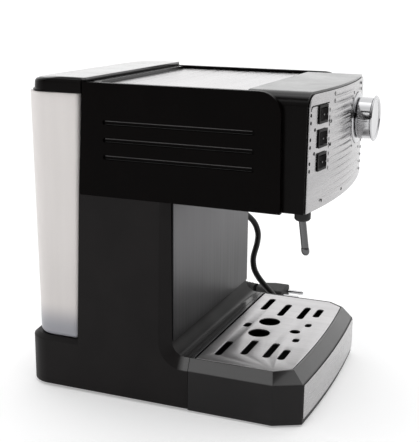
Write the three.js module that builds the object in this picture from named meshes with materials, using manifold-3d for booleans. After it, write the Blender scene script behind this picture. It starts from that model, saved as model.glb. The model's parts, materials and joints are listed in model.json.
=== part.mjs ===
// Espresso machine for a kitchen worktop: a head over a drip tray, with a water tank behind.
// Millimetres. +X is the right-hand side seen from the front, the front faces -Y, +Z is up.
// The origin is on the worktop, under the middle of the machine's width and depth.
import * as THREE from "three";
import { mergeVertices } from "three/addons/utils/BufferGeometryUtils.js";
import Module from "manifold-3d";

const wasm = await Module();
wasm.setup();

// ---------------------------------------------------------------- driving dimensions
const GAP = 0.3; // clearance between touching pieces
const WALL = 3; // moulded walls

const SIDE = 100; // half the width over the side panels
const SIDE_INNER = 95; // half the width at the inner edge of the bevels
const BASE_BOTTOM = 3;
const BASE_REAR = 141.5;
const BASE_REAR_RADIUS = 23;
const BASE_RIM_Z = 45; // where the rim's bevel starts
const BASE_TOP = 48.5;

const SEAM_Y = -20; // joint between the base and the drip tray
const BEVEL_Z = 37.5; // lower edge of the bevel round the tray and the column's foot
const FOOT_Y = -16; // centre of the column's foot radius
const FOOT_Z = 61;
const FOOT_OUTER_RADIUS = 23.5;
const FOOT_INNER_RADIUS = 12.5;
const COLUMN_REAR_LOW = 86.5;
const COLUMN_REAR_HIGH = 81.5;

const HEAD_BOTTOM = 184;
const HEAD_TOP = 279.3;
const HEAD_SIDE = 94.5;
const HEAD_REAR = 76.5;
const HEAD_FRONT = -115.6; // front corners of the head's shell
const FRONT_BULGE = 8.3; // how far the middle of the front stands forward of its corners
const HEAD_FILLET = 11;
const FRONT_PANEL_THICK = 1.2;
const FRONT_PANEL_BOTTOM = 187.5;
const CUP_PLATE_TOP = 276.5;
const CUP_PLATE_THICK = 1.5;
const CUP_PLATE_FRONT = -65;
const CUP_PLATE_REAR = 65;

const CHEEK_FRONT = -96.5;
const CHEEK_TOP = 279.3;
const CHEEK_CORNER = 18;
const GROOVE_Z = [246.7, 232, 217.5];
const GROOVE_HEIGHT = 4;
const GROOVE_DEPTH = 1.8;
const GROOVE_REAR = 57.5;
const GROOVE_FRONT = -76;

const TRAY_CORNER_SIDE_Y = -96.6; // where the tray's side turns into its corner
const TRAY_CORNER_X = 88.2;
const TRAY_FRONT = -119.3;
const TRAY_BULGE = 3.4;

const TANK_SIDE = 96;
const TANK_REAR_LOW = 134.6;
const TANK_REAR_HIGH = 136.6;
const TANK_FRONT_LOW = 87.5;
const TANK_FRONT_HIGH = 81;
const TANK_BOTTOM = 49;
const TANK_TOP = 269;
const TANK_RADIUS = 20;
const TANK_WALL = 2.2;
const TANK_PORT = { x: 0, y: 110 };

const LID_BOTTOM = 269.3;
const LID_TOP = 282.6;
const LID_SIDE = 99.5;
const LID_REAR = 131;
const LID_FRONT = 74.2;

const KNOB = { x: 42, z: 244.5, base: -125, radius: 18.7, front: -139.5, capRadius: 20.6, capFront: -141.5 };
const SWITCH = { x: -68, z: [260.6, 241.6, 222.9], width: 18, height: 14.6, proud: 1.2, tilt: 11 };
const ROCKER = { half: 5.6, rise: 4.6, proud: 1.2, pivot: 5 };
const WAND = { x: -80, y: -111, radius: 3, nutRadius: 6.6, end: 147.5, lean: 3 };
const GROUP = { x: 0, y: -54 };
const BOILER_Z = 200;
const GLAND = { y: 24, z: 122, length: 30 };
const CORD_RADIUS = 3.25;
const COIL = { x: 165, y: 94, outer: 41.6, inner: 28.4, height: 13 };
const PLUG = { x: 219, front: -10, length: 34, width: 34, height: 13.8, shoulder: 16 };
const PIN = { gap: 18.6, radius: 2.2, length: 19 };

// ---------------------------------------------------------------- geometry helpers
const DEG = Math.PI / 180;

// Points on an arc from one angle to another, in degrees, ends included.
function arc(cx, cy, radius, from, to, steps) {
  return Array.from({ length: steps + 1 }, (_, i) => {
    const angle = (from + ((to - from) * i) / steps) * DEG;
    return [cx + radius * Math.cos(angle), cy + radius * Math.sin(angle)];
  });
}

const rectangle = (x0, y0, x1, y1) => [
  [x0, y0],
  [x1, y0],
  [x1, y1],
  [x0, y1],
];

function roundedRectangle(x0, y0, x1, y1, radius, steps = 4) {
  return [
    ...arc(x1 - radius, y0 + radius, radius, -90, 0, steps),
    ...arc(x1 - radius, y1 - radius, radius, 0, 90, steps),
    ...arc(x0 + radius, y1 - radius, radius, 90, 180, steps),
    ...arc(x0 + radius, y0 + radius, radius, 180, 270, steps),
  ];
}

const circle = (cx, cy, radius, steps = 20) => arc(cx, cy, radius, 0, 360, steps).slice(0, steps);

// A straight slot with round ends, its long axis along the first coordinate.
const slot = (cx, cy, length, width, steps = 4) =>
  roundedRectangle(cx - length / 2, cy - width / 2, cx + length / 2, cy + width / 2, width / 2 - 0.01, steps);

function shapeOf(outline, holes = []) {
  const shape = new THREE.Shape(outline.map((p) => new THREE.Vector2(...p)));
  shape.holes = holes.map((hole) => new THREE.Path(hole.map((p) => new THREE.Vector2(...p))));
  return shape;
}

// A prism on an outline in the XY plane, from z0 up to z1.
function prismZ(outline, z0, z1, holes) {
  const depth = z1 - z0;
  const geometry = new THREE.ExtrudeGeometry(shapeOf(outline, holes), { depth, bevelEnabled: false });
  return geometry.translate(0, 0, z0);
}

// A prism on an outline of (y, z) points, from x0 to x1.
function prismX(outline, x0, x1) {
  const geometry = prismZ(outline, x0, x1);
  geometry.applyMatrix4(new THREE.Matrix4().set(0, 0, 1, 0, 1, 0, 0, 0, 0, 1, 0, 0, 0, 0, 0, 1));
  return geometry;
}

// A prism on an outline of (x, z) points, from y0 to y1.
function prismY(outline, y0, y1, holes) {
  return prismZ(outline, -y1, -y0, holes).rotateX(Math.PI / 2);
}

const box = (x0, y0, z0, x1, y1, z1) => prismZ(rectangle(x0, y0, x1, y1), z0, z1);

// A solid through sections that have the same number of points: each section is a list of [x, y, z].
function loft(sections) {
  const count = sections[0].length;
  const positions = sections.flat(2);
  const index = [];
  for (let s = 0; s + 1 < sections.length; s++)
    for (let i = 0; i < count; i++) {
      const j = (i + 1) % count;
      const [a, b] = [s * count + i, s * count + j];
      const [c, d] = [a + count, b + count];
      index.push(a, b, d, a, d, c);
    }
  const drop = dominantAxis(sections[0]);
  const flat = sections[0].map((p) => new THREE.Vector2(...p.filter((_, k) => k !== drop)));
  const last = (sections.length - 1) * count;
  const cap = THREE.ShapeUtils.triangulateShape(flat, []);
  // The caps follow the sides' winding, whichever way the outline turns.
  const along = cap.some(([a, b, c]) => isEdge(a, b, count) || isEdge(b, c, count) || isEdge(c, a, count));
  for (const [a, b, c] of cap) {
    if (along) index.push(c, b, a, last + a, last + b, last + c);
    else index.push(a, b, c, last + c, last + b, last + a);
  }
  const geometry = new THREE.BufferGeometry();
  geometry.setAttribute("position", new THREE.Float32BufferAttribute(positions, 3));
  geometry.setIndex(index);
  return geometry;
}

const isEdge = (a, b, count) => (a + 1) % count === b;

function dominantAxis(section) {
  const spread = [0, 1, 2].map((k) => {
    const values = section.map((p) => p[k]);
    return Math.max(...values) - Math.min(...values);
  });
  return spread.indexOf(Math.min(...spread));
}

// A turned solid about a vertical axis, from a closed profile of (radius, z) points.
function turned(profile, x, y, segments = 32) {
  const points = profile.map((p) => new THREE.Vector2(...p));
  const closed = points[0].x > 0 ? [...points, points[0]] : points;
  return new THREE.LatheGeometry(closed, segments).rotateX(Math.PI / 2).translate(x, y, 0);
}

// A turned solid about an axis along Y: profile points are (radius, y), drawn from front to back.
function turnedY(profile, x, z, segments = 32) {
  const points = profile.map(([r, y]) => new THREE.Vector2(r, y));
  const closed = points[0].x > 0 ? [...points, points[0]] : points;
  return new THREE.LatheGeometry(closed, segments).translate(x, 0, z);
}

// A round bar along a smooth curve through points, with a ring every few millimetres.
function bar(points, radius, sides = 10, steps = 24) {
  const curve = new THREE.CatmullRomCurve3(points.map((p) => new THREE.Vector3(...p)), false, "centripetal");
  const options = { steps, extrudePath: curve, bevelEnabled: false };
  return new THREE.ExtrudeGeometry(shapeOf(circle(0, 0, radius, sides)), options);
}

// A geometry as a manifold solid, turned the right way out.
function solid(geometry) {
  const bare = geometry.clone();
  bare.deleteAttribute("normal");
  bare.deleteAttribute("uv");
  const merged = mergeVertices(bare, 1e-4);
  const vertProperties = merged.attributes.position.array;
  const build = (triVerts) => new wasm.Manifold(new wasm.Mesh({ numProp: 3, vertProperties, triVerts }));
  const triVerts = new Uint32Array(merged.index.array);
  const made = build(triVerts);
  if (made.volume() > 0) return made;
  for (let i = 0; i < triVerts.length; i += 3)
    [triVerts[i], triVerts[i + 1]] = [triVerts[i + 1], triVerts[i]];
  return build(triVerts);
}

function geometryOf(made) {
  const mesh = made.getMesh();
  const geometry = new THREE.BufferGeometry();
  geometry.setAttribute("position", new THREE.BufferAttribute(mesh.vertProperties.slice(), 3));
  geometry.setIndex(new THREE.BufferAttribute(mesh.triVerts.slice(), 1));
  return geometry;
}

const fold = (first, others, step) => others.map(solid).reduce(step, solid(first));
const join = (first, ...others) => geometryOf(fold(first, others, (a, b) => a.add(b)));
const cut = (first, ...others) => geometryOf(fold(first, others, (a, b) => a.subtract(b)));
const common = (first, ...others) => geometryOf(fold(first, others, (a, b) => a.intersect(b)));

// ---------------------------------------------------------------- finishes
const finish = (color, roughness, metalness = 0, extra = {}) =>
  new THREE.MeshStandardMaterial({ color, roughness, metalness, ...extra });
const BLACK = finish(0x17171a, 0.35);
const SOFT_BLACK = finish(0x262626, 0.5);
const STEEL = finish(0xb8b8b8, 0.35, 1);
const CHROME = finish(0xe2e2e4, 0.08, 1);
const CLEAR = finish(0xe4e2df, 0.3, 0, { transparent: true, opacity: 0.6 });
const RUBBER = finish(0x141414, 0.8);
const ALUMINIUM = finish(0xa4a6a8, 0.45, 1);
const BRASS = finish(0xb08d4f, 0.35, 1);
const SILICONE = finish(0xb9b4a6, 0.7);

const machine = new THREE.Group();

// Each piece is stored with its vertices merged and its faces pointing out.
function add(name, geometry, material) {
  const mesh = new THREE.Mesh(geometryOf(solid(geometry)), material);
  mesh.name = name;
  machine.add(mesh);
  return mesh;
}

// ---------------------------------------------------------------- base and column
// The side outline of the base and column, for a foot of a given radius.
function columnOutline(radius, frontY) {
  return [
    [SEAM_Y, BASE_BOTTOM],
    [SEAM_Y, FOOT_Z - radius],
    ...arc(FOOT_Y, FOOT_Z, radius, -90, 0, 8),
    [frontY, HEAD_BOTTOM - GAP],
    [COLUMN_REAR_HIGH, HEAD_BOTTOM - GAP],
    [COLUMN_REAR_LOW, BASE_TOP],
    [COLUMN_REAR_LOW, BASE_BOTTOM],
  ];
}

// The base in plan, drawn in by an inset on its sides and rear.
function basePlan(inset, frontY = 60) {
  const radius = BASE_REAR_RADIUS - inset;
  const [side, rear] = [SIDE - inset, BASE_REAR - inset];
  return [
    [-side, frontY],
    [side, frontY],
    ...arc(side - radius, rear - radius, radius, 0, 90, 8),
    ...arc(-side + radius, rear - radius, radius, 90, 180, 8),
  ];
}

const at = (outline, z) => outline.map(([x, y]) => [x, y, z]);

function bodyShell() {
  const outer = columnOutline(FOOT_OUTER_RADIUS, FOOT_Y + FOOT_OUTER_RADIUS - 1.5);
  const inner = columnOutline(FOOT_INNER_RADIUS, FOOT_Y + FOOT_INNER_RADIUS + 1);
  const side = (outline, x) => outline.map(([y, z]) => [x, y, z]);
  const column = loft([
    side(outer, -SIDE),
    side(inner, -SIDE_INNER),
    side(inner, SIDE_INNER),
    side(outer, SIDE),
  ]);
  const base = loft([at(basePlan(0), BASE_BOTTOM), at(basePlan(0), BASE_RIM_Z), at(basePlan(4), BASE_TOP)]);
  const columnHollow = prismZ(
    [
      [-90, 1],
      [90, 1],
      [96.5, 11],
      [96.5, 77],
      [-96.5, 77],
      [-96.5, 11],
    ],
    BASE_TOP - WALL - 2,
    HEAD_BOTTOM + 10,
  );
  const baseHollow = prismZ(basePlan(WALL, 2), BASE_BOTTOM - 1, BASE_TOP - WALL);
  const footHollow = box(WALL - SIDE, SEAM_Y + WALL, BASE_BOTTOM - 1, SIDE - WALL, 4, BEVEL_Z - WALL);
  const plateNotch = box(-88.3, SEAM_Y - 1, BASE_BOTTOM - 1, 88.3, SEAM_Y + WALL + 1, BASE_BOTTOM + 2.8);
  const seatHole = prismZ(circle(TANK_PORT.x, TANK_PORT.y, 11.3, 24), BASE_TOP - 5, BASE_TOP + 1);
  const glandHole = prismX(circle(GLAND.y, GLAND.z, 5.3, 16), 90, SIDE + 1);
  return cut(join(column, base), columnHollow, baseHollow, footHollow, plateNotch, seatHole, glandHole);
}
add("body_shell", bodyShell(), SOFT_BLACK);

function bottomPlate() {
  const inset = WALL + GAP;
  const main = prismZ(basePlan(inset, SEAM_Y + WALL + GAP), BASE_BOTTOM, BASE_BOTTOM + 2.5);
  const tongue = box(-88, -100, BASE_BOTTOM, 88, SEAM_Y + 10, BASE_BOTTOM + 2.5);
  return join(main, tongue);
}
add("bottom_plate", bottomPlate(), SOFT_BLACK);

for (const [name, x, y] of [
  ["foot_front_left", -72, -84],
  ["foot_front_right", 72, -84],
  ["foot_rear_left", -72, 118],
  ["foot_rear_right", 72, 118],
])
  add(
    name,
    turned(
      [
        [0, 0],
        [8, 0],
        [9, 1],
        [9, BASE_BOTTOM - GAP],
        [0, BASE_BOTTOM - GAP],
      ],
      x,
      y,
      20,
    ),
    RUBBER,
  );

const splashTop = HEAD_BOTTOM - 0.6;
add(
  "splash_plate",
  box(-94.4, FOOT_Y + FOOT_INNER_RADIUS - 1.3, FOOT_Z, 94.4, FOOT_Y + FOOT_INNER_RADIUS - 0.3, splashTop),
  STEEL,
);

// ---------------------------------------------------------------- drip tray
// The tray in plan, for a side inset and a front inset.
function trayPlan(sideInset, frontInset, rearY = SEAM_Y - GAP) {
  const side = SIDE - sideInset;
  const cornerX = TRAY_CORNER_X - sideInset * 0.75;
  const front = TRAY_FRONT + frontInset;
  const steps = 8;
  const bulge = Array.from({ length: steps + 1 }, (_, i) => {
    const x = -cornerX + (2 * cornerX * i) / steps;
    return [x, front - TRAY_BULGE * (1 - (x / cornerX) ** 2)];
  });
  const cornerY = TRAY_CORNER_SIDE_Y + frontInset * 0.2;
  return [[side, rearY], [-side, rearY], [-side, cornerY], ...bulge, [side, cornerY]];
}

const TRAY_BOTTOM = 2;
const TRAY_FLOOR = BASE_BOTTOM + 3.2;

function dripTray() {
  const outer = loft([
    at(trayPlan(0, 0), TRAY_BOTTOM),
    at(trayPlan(0, 0), BEVEL_Z),
    at(trayPlan(SIDE - SIDE_INNER, 9.5), BASE_TOP),
  ]);
  const inside = SEAM_Y - GAP - WALL;
  const basin = loft([
    at(trayPlan(3.2, 4, inside), TRAY_FLOOR + 2),
    at(trayPlan(3.2, 4, inside), BEVEL_Z - 2),
    at(trayPlan(8.5, 13, inside), BASE_TOP - 2.2),
    at(trayPlan(8.5, 13, inside), BASE_TOP + 1),
  ]);
  const gridSeat = prismZ(trayPlan(6, 10.6, SEAM_Y - GAP - 3.6), BASE_TOP - 1.8, BASE_TOP + 1);
  const tongueRecess = box(-88.6, -101, 0, 88.6, 0, TRAY_FLOOR);
  return cut(outer, basin, gridSeat, tongueRecess);
}
add("drip_tray", dripTray(), BLACK);

function frontSkin(cornerX, front, bulge, thick, z0, z1, steps = 12) {
  const line = (y) =>
    Array.from({ length: steps + 1 }, (_, i) => {
      const x = -cornerX + (2 * cornerX * i) / steps;
      return [x, y - bulge * (1 - (x / cornerX) ** 2)];
    });
  return prismZ([...line(front - thick), ...line(front).reverse()], z0, z1);
}
add(
  "tray_front_plate",
  frontSkin(TRAY_CORNER_X - 1.5, TRAY_FRONT - GAP, TRAY_BULGE, 0.8, 7, BEVEL_Z - 0.5),
  STEEL,
);

function dripGrid() {
  const slots = [];
  for (const side of [-1, 1]) {
    slots.push(slot(side * 62.5, -39, 35, 6.5));
    slots.push(slot(side * 52.5, -59.2, 35, 6.5));
    slots.push(slot(side * 51.5, -79.2, 35, 6.5));
    slots.push(slot(side * 56.5, -92.3, 24, 6.5));
    slots.push(slot(side * 20.5, -92.3, 9, 6));
    slots.push(circle(side * 15.8, -55.7, 10, 16));
  }
  slots.push(slot(0, -39, 11, 6.4), circle(0, -85.4, 4.8, 12));
  const holes = slots.map((outline) => outline.slice().reverse());
  return prismZ(trayPlan(6.4, 11, SEAM_Y - GAP - 4), BASE_TOP - 1.5, BASE_TOP, holes);
}
add("drip_grid", dripGrid(), STEEL);

// ---------------------------------------------------------------- head
// The head in plan: straight sides and a bulged front.
function headPlan(inset, rearY = HEAD_REAR) {
  const side = HEAD_SIDE - inset;
  const steps = 10;
  const bulge = Array.from({ length: steps + 1 }, (_, i) => {
    const x = -side + (2 * side * i) / steps;
    return [x, HEAD_FRONT + inset - FRONT_BULGE * (1 - (x / side) ** 2)];
  });
  return [[side, rearY - inset], [-side, rearY - inset], ...bulge];
}

// The head's cross-section in X and Z, with round upper corners.
function headSection(inset, bottom = HEAD_BOTTOM) {
  const [side, top, radius] = [HEAD_SIDE - inset, HEAD_TOP - inset, HEAD_FILLET - inset];
  return [
    [-side, bottom],
    [side, bottom],
    ...arc(side - radius, top - radius, radius, 0, 90, 5),
    ...arc(-side + radius, top - radius, radius, 90, 180, 5),
  ];
}

// The square holes for the three switches, through the shell and the front panel.
const switchHoles = () => {
  const [half, reach] = [SWITCH.height / 2 - 0.5, SWITCH.width / 2 - 0.4];
  return SWITCH.z.map((z) => box(SWITCH.x - reach, -140, z - half, SWITCH.x + reach, -100, z + half));
};

function headHousing() {
  const outer = common(prismZ(headPlan(0), HEAD_BOTTOM, HEAD_TOP), prismY(headSection(0), -140, HEAD_REAR));
  const hollow = common(
    prismZ(headPlan(WALL), HEAD_BOTTOM + WALL, HEAD_TOP),
    prismY(headSection(WALL, HEAD_BOTTOM + WALL), -140, HEAD_REAR),
  );
  const seatFloor = CUP_PLATE_TOP - CUP_PLATE_THICK - GAP;
  const [seatFront, seatRear] = [CUP_PLATE_FRONT - GAP, CUP_PLATE_REAR + GAP];
  const plateSeat = box(-HEAD_SIDE, seatFront, seatFloor, HEAD_SIDE, seatRear, HEAD_TOP + 1);
  const topOpening = box(-86, CUP_PLATE_FRONT + 6, HEAD_TOP - 12, 86, CUP_PLATE_REAR - 6, HEAD_TOP + 1);
  const columnOpening = box(-88, 14, HEAD_BOTTOM - 1, 88, 72, HEAD_BOTTOM + WALL + 1);
  const groupOpening = prismZ(circle(GROUP.x, GROUP.y, 36.5, 28), HEAD_BOTTOM - 1, HEAD_BOTTOM + WALL + 1);
  const wandHole = prismZ(circle(WAND.x, WAND.y + 1, 4.3, 14), HEAD_BOTTOM - 1, HEAD_BOTTOM + WALL + 5);
  const stemHole = prismY(circle(KNOB.x, KNOB.z, 5, 16), -140, -90);
  const openings = [plateSeat, topOpening, columnOpening, groupOpening, wandHole, stemHole];
  return cut(outer, hollow, ...openings, ...switchHoles());
}
add("head_housing", headHousing(), BLACK);

function frontPanel() {
  const thick = FRONT_PANEL_THICK;
  const top = HEAD_TOP - 0.6;
  const skin = frontSkin(HEAD_SIDE, HEAD_FRONT - GAP, FRONT_BULGE, thick, FRONT_PANEL_BOTTOM, top, 16);
  const face = common(skin, prismY(headSection(0.6, FRONT_PANEL_BOTTOM), -140, -100));
  const flangeHole = prismY(circle(KNOB.x, KNOB.z, 23, 32), -140, -90);
  return cut(face, flangeHole, ...switchHoles());
}
add("front_panel", frontPanel(), STEEL);

add(
  "cup_plate",
  box(-93.6, CUP_PLATE_FRONT, CUP_PLATE_TOP - CUP_PLATE_THICK, 93.6, CUP_PLATE_REAR, CUP_PLATE_TOP),
  STEEL,
);

// A side panel with three long grooves, on the left (-1) or right (+1).
function cheek(side) {
  const outline = [
    [COLUMN_REAR_HIGH, HEAD_BOTTOM],
    [HEAD_REAR - 0.5, CHEEK_TOP],
    ...arc(CHEEK_FRONT + CHEEK_CORNER, CHEEK_TOP - CHEEK_CORNER, CHEEK_CORNER, 90, 180, 7),
    [CHEEK_FRONT - 1.5, HEAD_BOTTOM - 0.6],
  ];
  const [inner, outer] = [HEAD_SIDE + GAP, SIDE];
  const plate = side < 0 ? prismX(outline, -outer, -inner) : prismX(outline, inner, outer);
  const length = GROOVE_REAR - GROOVE_FRONT;
  const middle = (GROOVE_REAR + GROOVE_FRONT) / 2;
  const grooves = GROOVE_Z.map((z) => {
    const outlineYZ = slot(middle, z, length, GROOVE_HEIGHT, 3);
    return side < 0
      ? prismX(outlineYZ, -outer - 1, -outer + GROOVE_DEPTH)
      : prismX(outlineYZ, outer - GROOVE_DEPTH, outer + 1);
  });
  return cut(plate, ...grooves);
}
add("cheek_left", cheek(-1), BLACK);
add("cheek_right", cheek(1), BLACK);

// ---------------------------------------------------------------- controls
const frontAt = (x) =>
  HEAD_FRONT - GAP - FRONT_PANEL_THICK - FRONT_BULGE * (1 - (x / HEAD_SIDE) ** 2);

// Each switch sits square to the bulged panel. Its rocker rests in the off position, turned about the
// vertical pin behind its face.
SWITCH.z.forEach((z, i) => {
  const seat = new THREE.Group();
  seat.position.set(SWITCH.x, frontAt(SWITCH.x), z);
  seat.rotation.z = Math.atan((2 * FRONT_BULGE * SWITCH.x) / HEAD_SIDE ** 2);
  const [half, rise] = [SWITCH.width / 2, SWITCH.height / 2];
  const block = (reach, height, front, rear) =>
    prismY(rectangle(-reach, -height, reach, height), front, rear);
  const bezel = block(half, rise, -SWITCH.proud, -GAP);
  const barrel = block(half - 1.5, rise - 0.9, -SWITCH.proud, 16);
  const pocket = block(half - 2, rise - 2.3, -SWITCH.proud - 1, 12);
  seat.add(add("switch_case_" + (i + 1), cut(join(bezel, barrel), pocket), BLACK));

  const rocker = new THREE.Group();
  rocker.position.set(0, ROCKER.pivot, 0);
  rocker.rotation.z = -SWITCH.tilt * DEG;
  const reach = -SWITCH.proud - ROCKER.proud - ROCKER.pivot;
  const outline = [
    [-ROCKER.half, reach],
    [0, reach + 0.7],
    [ROCKER.half, reach],
    [ROCKER.half, 0],
    [2.6, 3.4],
    [-2.6, 3.4],
    [-ROCKER.half, 0],
  ];
  rocker.add(add("rocker_" + (i + 1), prismZ(outline, -ROCKER.rise, ROCKER.rise), SOFT_BLACK));
  seat.add(rocker);
  machine.add(seat);
});

add(
  "knob_flange",
  turnedY(
    [
      [6, KNOB.base + 1],
      [6, KNOB.base - 1.2],
      [22, KNOB.base - 1.2],
      [22.6, KNOB.base - 0.4],
      [22.6, KNOB.base + 1],
    ],
    KNOB.x,
    KNOB.z,
    36,
  ).translate(0, 0.1, 0),
  CHROME,
);
add(
  "steam_knob",
  turnedY(
    [
      [0, KNOB.front],
      [KNOB.radius, KNOB.front],
      [KNOB.radius, KNOB.base - 1.8],
      [4, KNOB.base - 1.8],
      [4, KNOB.base - 6],
      [0, KNOB.base - 6],
    ],
    KNOB.x,
    KNOB.z,
    36,
  ),
  CHROME,
);
add(
  "knob_cap",
  turnedY(
    [
      [0, KNOB.capFront],
      [KNOB.capRadius - 1.5, KNOB.capFront + 0.3],
      [KNOB.capRadius, KNOB.front - 0.9],
      [KNOB.capRadius - 0.4, KNOB.front - GAP],
      [0, KNOB.front - GAP],
    ],
    KNOB.x,
    KNOB.z,
    36,
  ),
  CHROME,
);
add(
  "valve_stem",
  turnedY(
    [
      [0, KNOB.base - 5.7],
      [3.6, KNOB.base - 5.7],
      [3.6, -98],
      [0, -98],
    ],
    KNOB.x,
    KNOB.z,
    16,
  ),
  BRASS,
);

// ---------------------------------------------------------------- steam circuit
function steamValve() {
  const body = prismY(circle(KNOB.x, KNOB.z, 9, 16), -97, -72);
  const port = prismZ(circle(KNOB.x, -84, 5, 12), KNOB.z - 17, KNOB.z);
  const bore = prismY(circle(KNOB.x, KNOB.z, 3.9, 16), -99, -90);
  return cut(join(body, port), bore);
}
add("steam_valve", steamValve(), BRASS);

const NUT_Z = { top: HEAD_BOTTOM - GAP, bottom: HEAD_BOTTOM - 8 };
add(
  "wand_nut",
  turned(
    [
      [3.4, NUT_Z.bottom],
      [WAND.nutRadius, NUT_Z.bottom],
      [WAND.nutRadius, NUT_Z.top],
      [3.4, NUT_Z.top],
    ],
    WAND.x,
    WAND.y,
    20,
  ),
  RUBBER,
);
// The wand hangs from its ball joint and leans a little forward.
add(
  "steam_wand",
  loft(
    [
      [192, 0.6],
      [NUT_Z.bottom, 0],
      [WAND.end + 6.3, -WAND.lean],
    ].map(([z, dy]) => at(circle(WAND.x, WAND.y + dy, WAND.radius, 14), z)),
  ),
  STEEL,
);
add(
  "wand_tip",
  loft([
    at(circle(WAND.x, WAND.y - WAND.lean, WAND.radius + 0.3, 14), WAND.end + 6),
    at(circle(WAND.x, WAND.y - WAND.lean - 0.4, WAND.radius + 0.3, 14), WAND.end + 1),
    at(circle(WAND.x, WAND.y - WAND.lean - 0.4, WAND.radius - 1, 14), WAND.end),
  ]),
  CHROME,
);
add(
  "steam_pipe",
  bar(
    [
      [KNOB.x, -84, KNOB.z - 17.5],
      [KNOB.x, -84, KNOB.z - 22],
      [KNOB.x - 6, -88, 214],
      [20, -100, 206],
      [-40, -104, 204],
      [-74, -108, 203],
      [WAND.x, WAND.y + 0.6, 198],
      [WAND.x, WAND.y + 0.6, 192.6],
    ],
    2.4,
    8,
    22,
  ),
  BRASS,
);

// ---------------------------------------------------------------- group head and boiler
add(
  "bayonet_ring",
  turned(
    [
      [30.5, 168],
      [36, 168],
      [36, 187.5],
      [33, 187.5],
      [33, 176],
      [30.5, 173],
    ],
    GROUP.x,
    GROUP.y,
  ),
  SOFT_BLACK,
);
add(
  "group_head",
  turned(
    [
      [0, 180],
      [26, 180],
      [26, 183],
      [32.6, 183],
      [32.6, 198],
      [0, 198],
    ],
    GROUP.x,
    GROUP.y,
  ),
  ALUMINIUM,
);
add(
  "group_gasket",
  turned(
    [
      [26.4, 177.6],
      [32.5, 177.6],
      [32.5, 182.7],
      [26.4, 182.7],
    ],
    GROUP.x,
    GROUP.y,
  ),
  SILICONE,
);
add(
  "shower_screen",
  turned(
    [
      [0, 178.2],
      [25.8, 178.2],
      [25.8, 179.7],
      [0, 179.7],
    ],
    GROUP.x,
    GROUP.y,
  ),
  STEEL,
);
add(
  "boiler_lower",
  turned(
    [
      [0, BOILER_Z - 1.7],
      [40, BOILER_Z - 1.7],
      [40, BOILER_Z + 20],
      [36, BOILER_Z + 20],
      [36, BOILER_Z + 3],
      [0, BOILER_Z + 3],
    ],
    GROUP.x,
    GROUP.y,
    28,
  ),
  ALUMINIUM,
);
add(
  "heating_element",
  turned(
    [
      [27, BOILER_Z + 6],
      [33, BOILER_Z + 6],
      [33, BOILER_Z + 12],
      [27, BOILER_Z + 12],
    ],
    GROUP.x,
    GROUP.y,
    28,
  ),
  STEEL,
);
add(
  "boiler_upper",
  turned(
    [
      [0, BOILER_Z + 44],
      [30, BOILER_Z + 44],
      [38, BOILER_Z + 38],
      [40, BOILER_Z + 30],
      [40, BOILER_Z + 20.3],
      [36, BOILER_Z + 20.3],
      [36, BOILER_Z + 30],
      [29, BOILER_Z + 40],
      [0, BOILER_Z + 40],
    ],
    GROUP.x,
    GROUP.y,
    28,
  ),
  ALUMINIUM,
);
add("thermostat", prismZ(circle(14, GROUP.y, 8, 16), BOILER_Z + 44.3, BOILER_Z + 52), BLACK);

// ---------------------------------------------------------------- pump and hoses
add("pump_mount", box(10, 20, BASE_BOTTOM + 2.8, 50, 62, 19.7), RUBBER);
add("pump_coil", box(10, 22, 20, 50, 60, 62), SOFT_BLACK);
add(
  "pump_head",
  turned(
    [
      [0, 62.3],
      [11, 62.3],
      [11, 84],
      [4, 88],
      [4, 96],
      [0, 96],
    ],
    30,
    41,
    16,
  ),
  BRASS,
);
add(
  "pressure_hose",
  bar(
    [
      [30, 41, 96.4],
      [30, 41, 130],
      [20, 38, 180],
      [2, 20, 225],
      [-14, -20, 252],
      [-14, -40, 256],
      [-14, GROUP.y, 251],
      [-14, GROUP.y, BOILER_Z + 44.4],
    ],
    2.5,
    8,
    34,
  ),
  SILICONE,
);
add(
  "suction_hose",
  bar(
    [
      [TANK_PORT.x, TANK_PORT.y, 30],
      [TANK_PORT.x, TANK_PORT.y - 1, 22],
      [TANK_PORT.x + 4, 101, 15],
      [12, 88, 15],
      [18, 78, 20],
      [20, 70, 28],
      [20, 65, 30],
      [20, 61, 30],
    ],
    3.2,
    8,
    24,
  ),
  SILICONE,
);
add("terminal_block", box(58, 24, 100, 88, 44, 114), SILICONE);

// ---------------------------------------------------------------- water tank
function tankPlan(inset, frontY, rearY, side = TANK_SIDE) {
  const radius = TANK_RADIUS - inset;
  return [
    ...arc(-side + inset + 4, frontY + inset + 4, 4, 180, 270, 2),
    ...arc(side - inset - 4, frontY + inset + 4, 4, 270, 360, 2),
    ...arc(side - inset - radius, rearY - inset - radius, radius, 0, 90, 6),
    ...arc(-side + inset + radius, rearY - inset - radius, radius, 90, 180, 6),
  ];
}

function waterTank() {
  const section = (z, inset) => {
    const share = (z - TANK_BOTTOM) / (TANK_TOP - TANK_BOTTOM);
    const front = TANK_FRONT_LOW + (TANK_FRONT_HIGH - TANK_FRONT_LOW) * share;
    const rear = TANK_REAR_LOW + (TANK_REAR_HIGH - TANK_REAR_LOW) * share;
    return at(tankPlan(inset, front, rear, TANK_SIDE + 1.5 * share), z);
  };
  const outer = loft([section(TANK_BOTTOM, 1.5), section(TANK_BOTTOM + 2.5, 0), section(TANK_TOP, 0)]);
  const inner = loft([
    section(TANK_BOTTOM + TANK_WALL, TANK_WALL + 1),
    section(TANK_BOTTOM + 6, TANK_WALL),
    section(TANK_TOP + 1, TANK_WALL),
  ]);
  const port = prismZ(circle(TANK_PORT.x, TANK_PORT.y, 7, 16), TANK_BOTTOM - 1, TANK_BOTTOM + 4);
  return cut(outer, inner, port);
}
add("water_tank", waterTank(), CLEAR);

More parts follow.
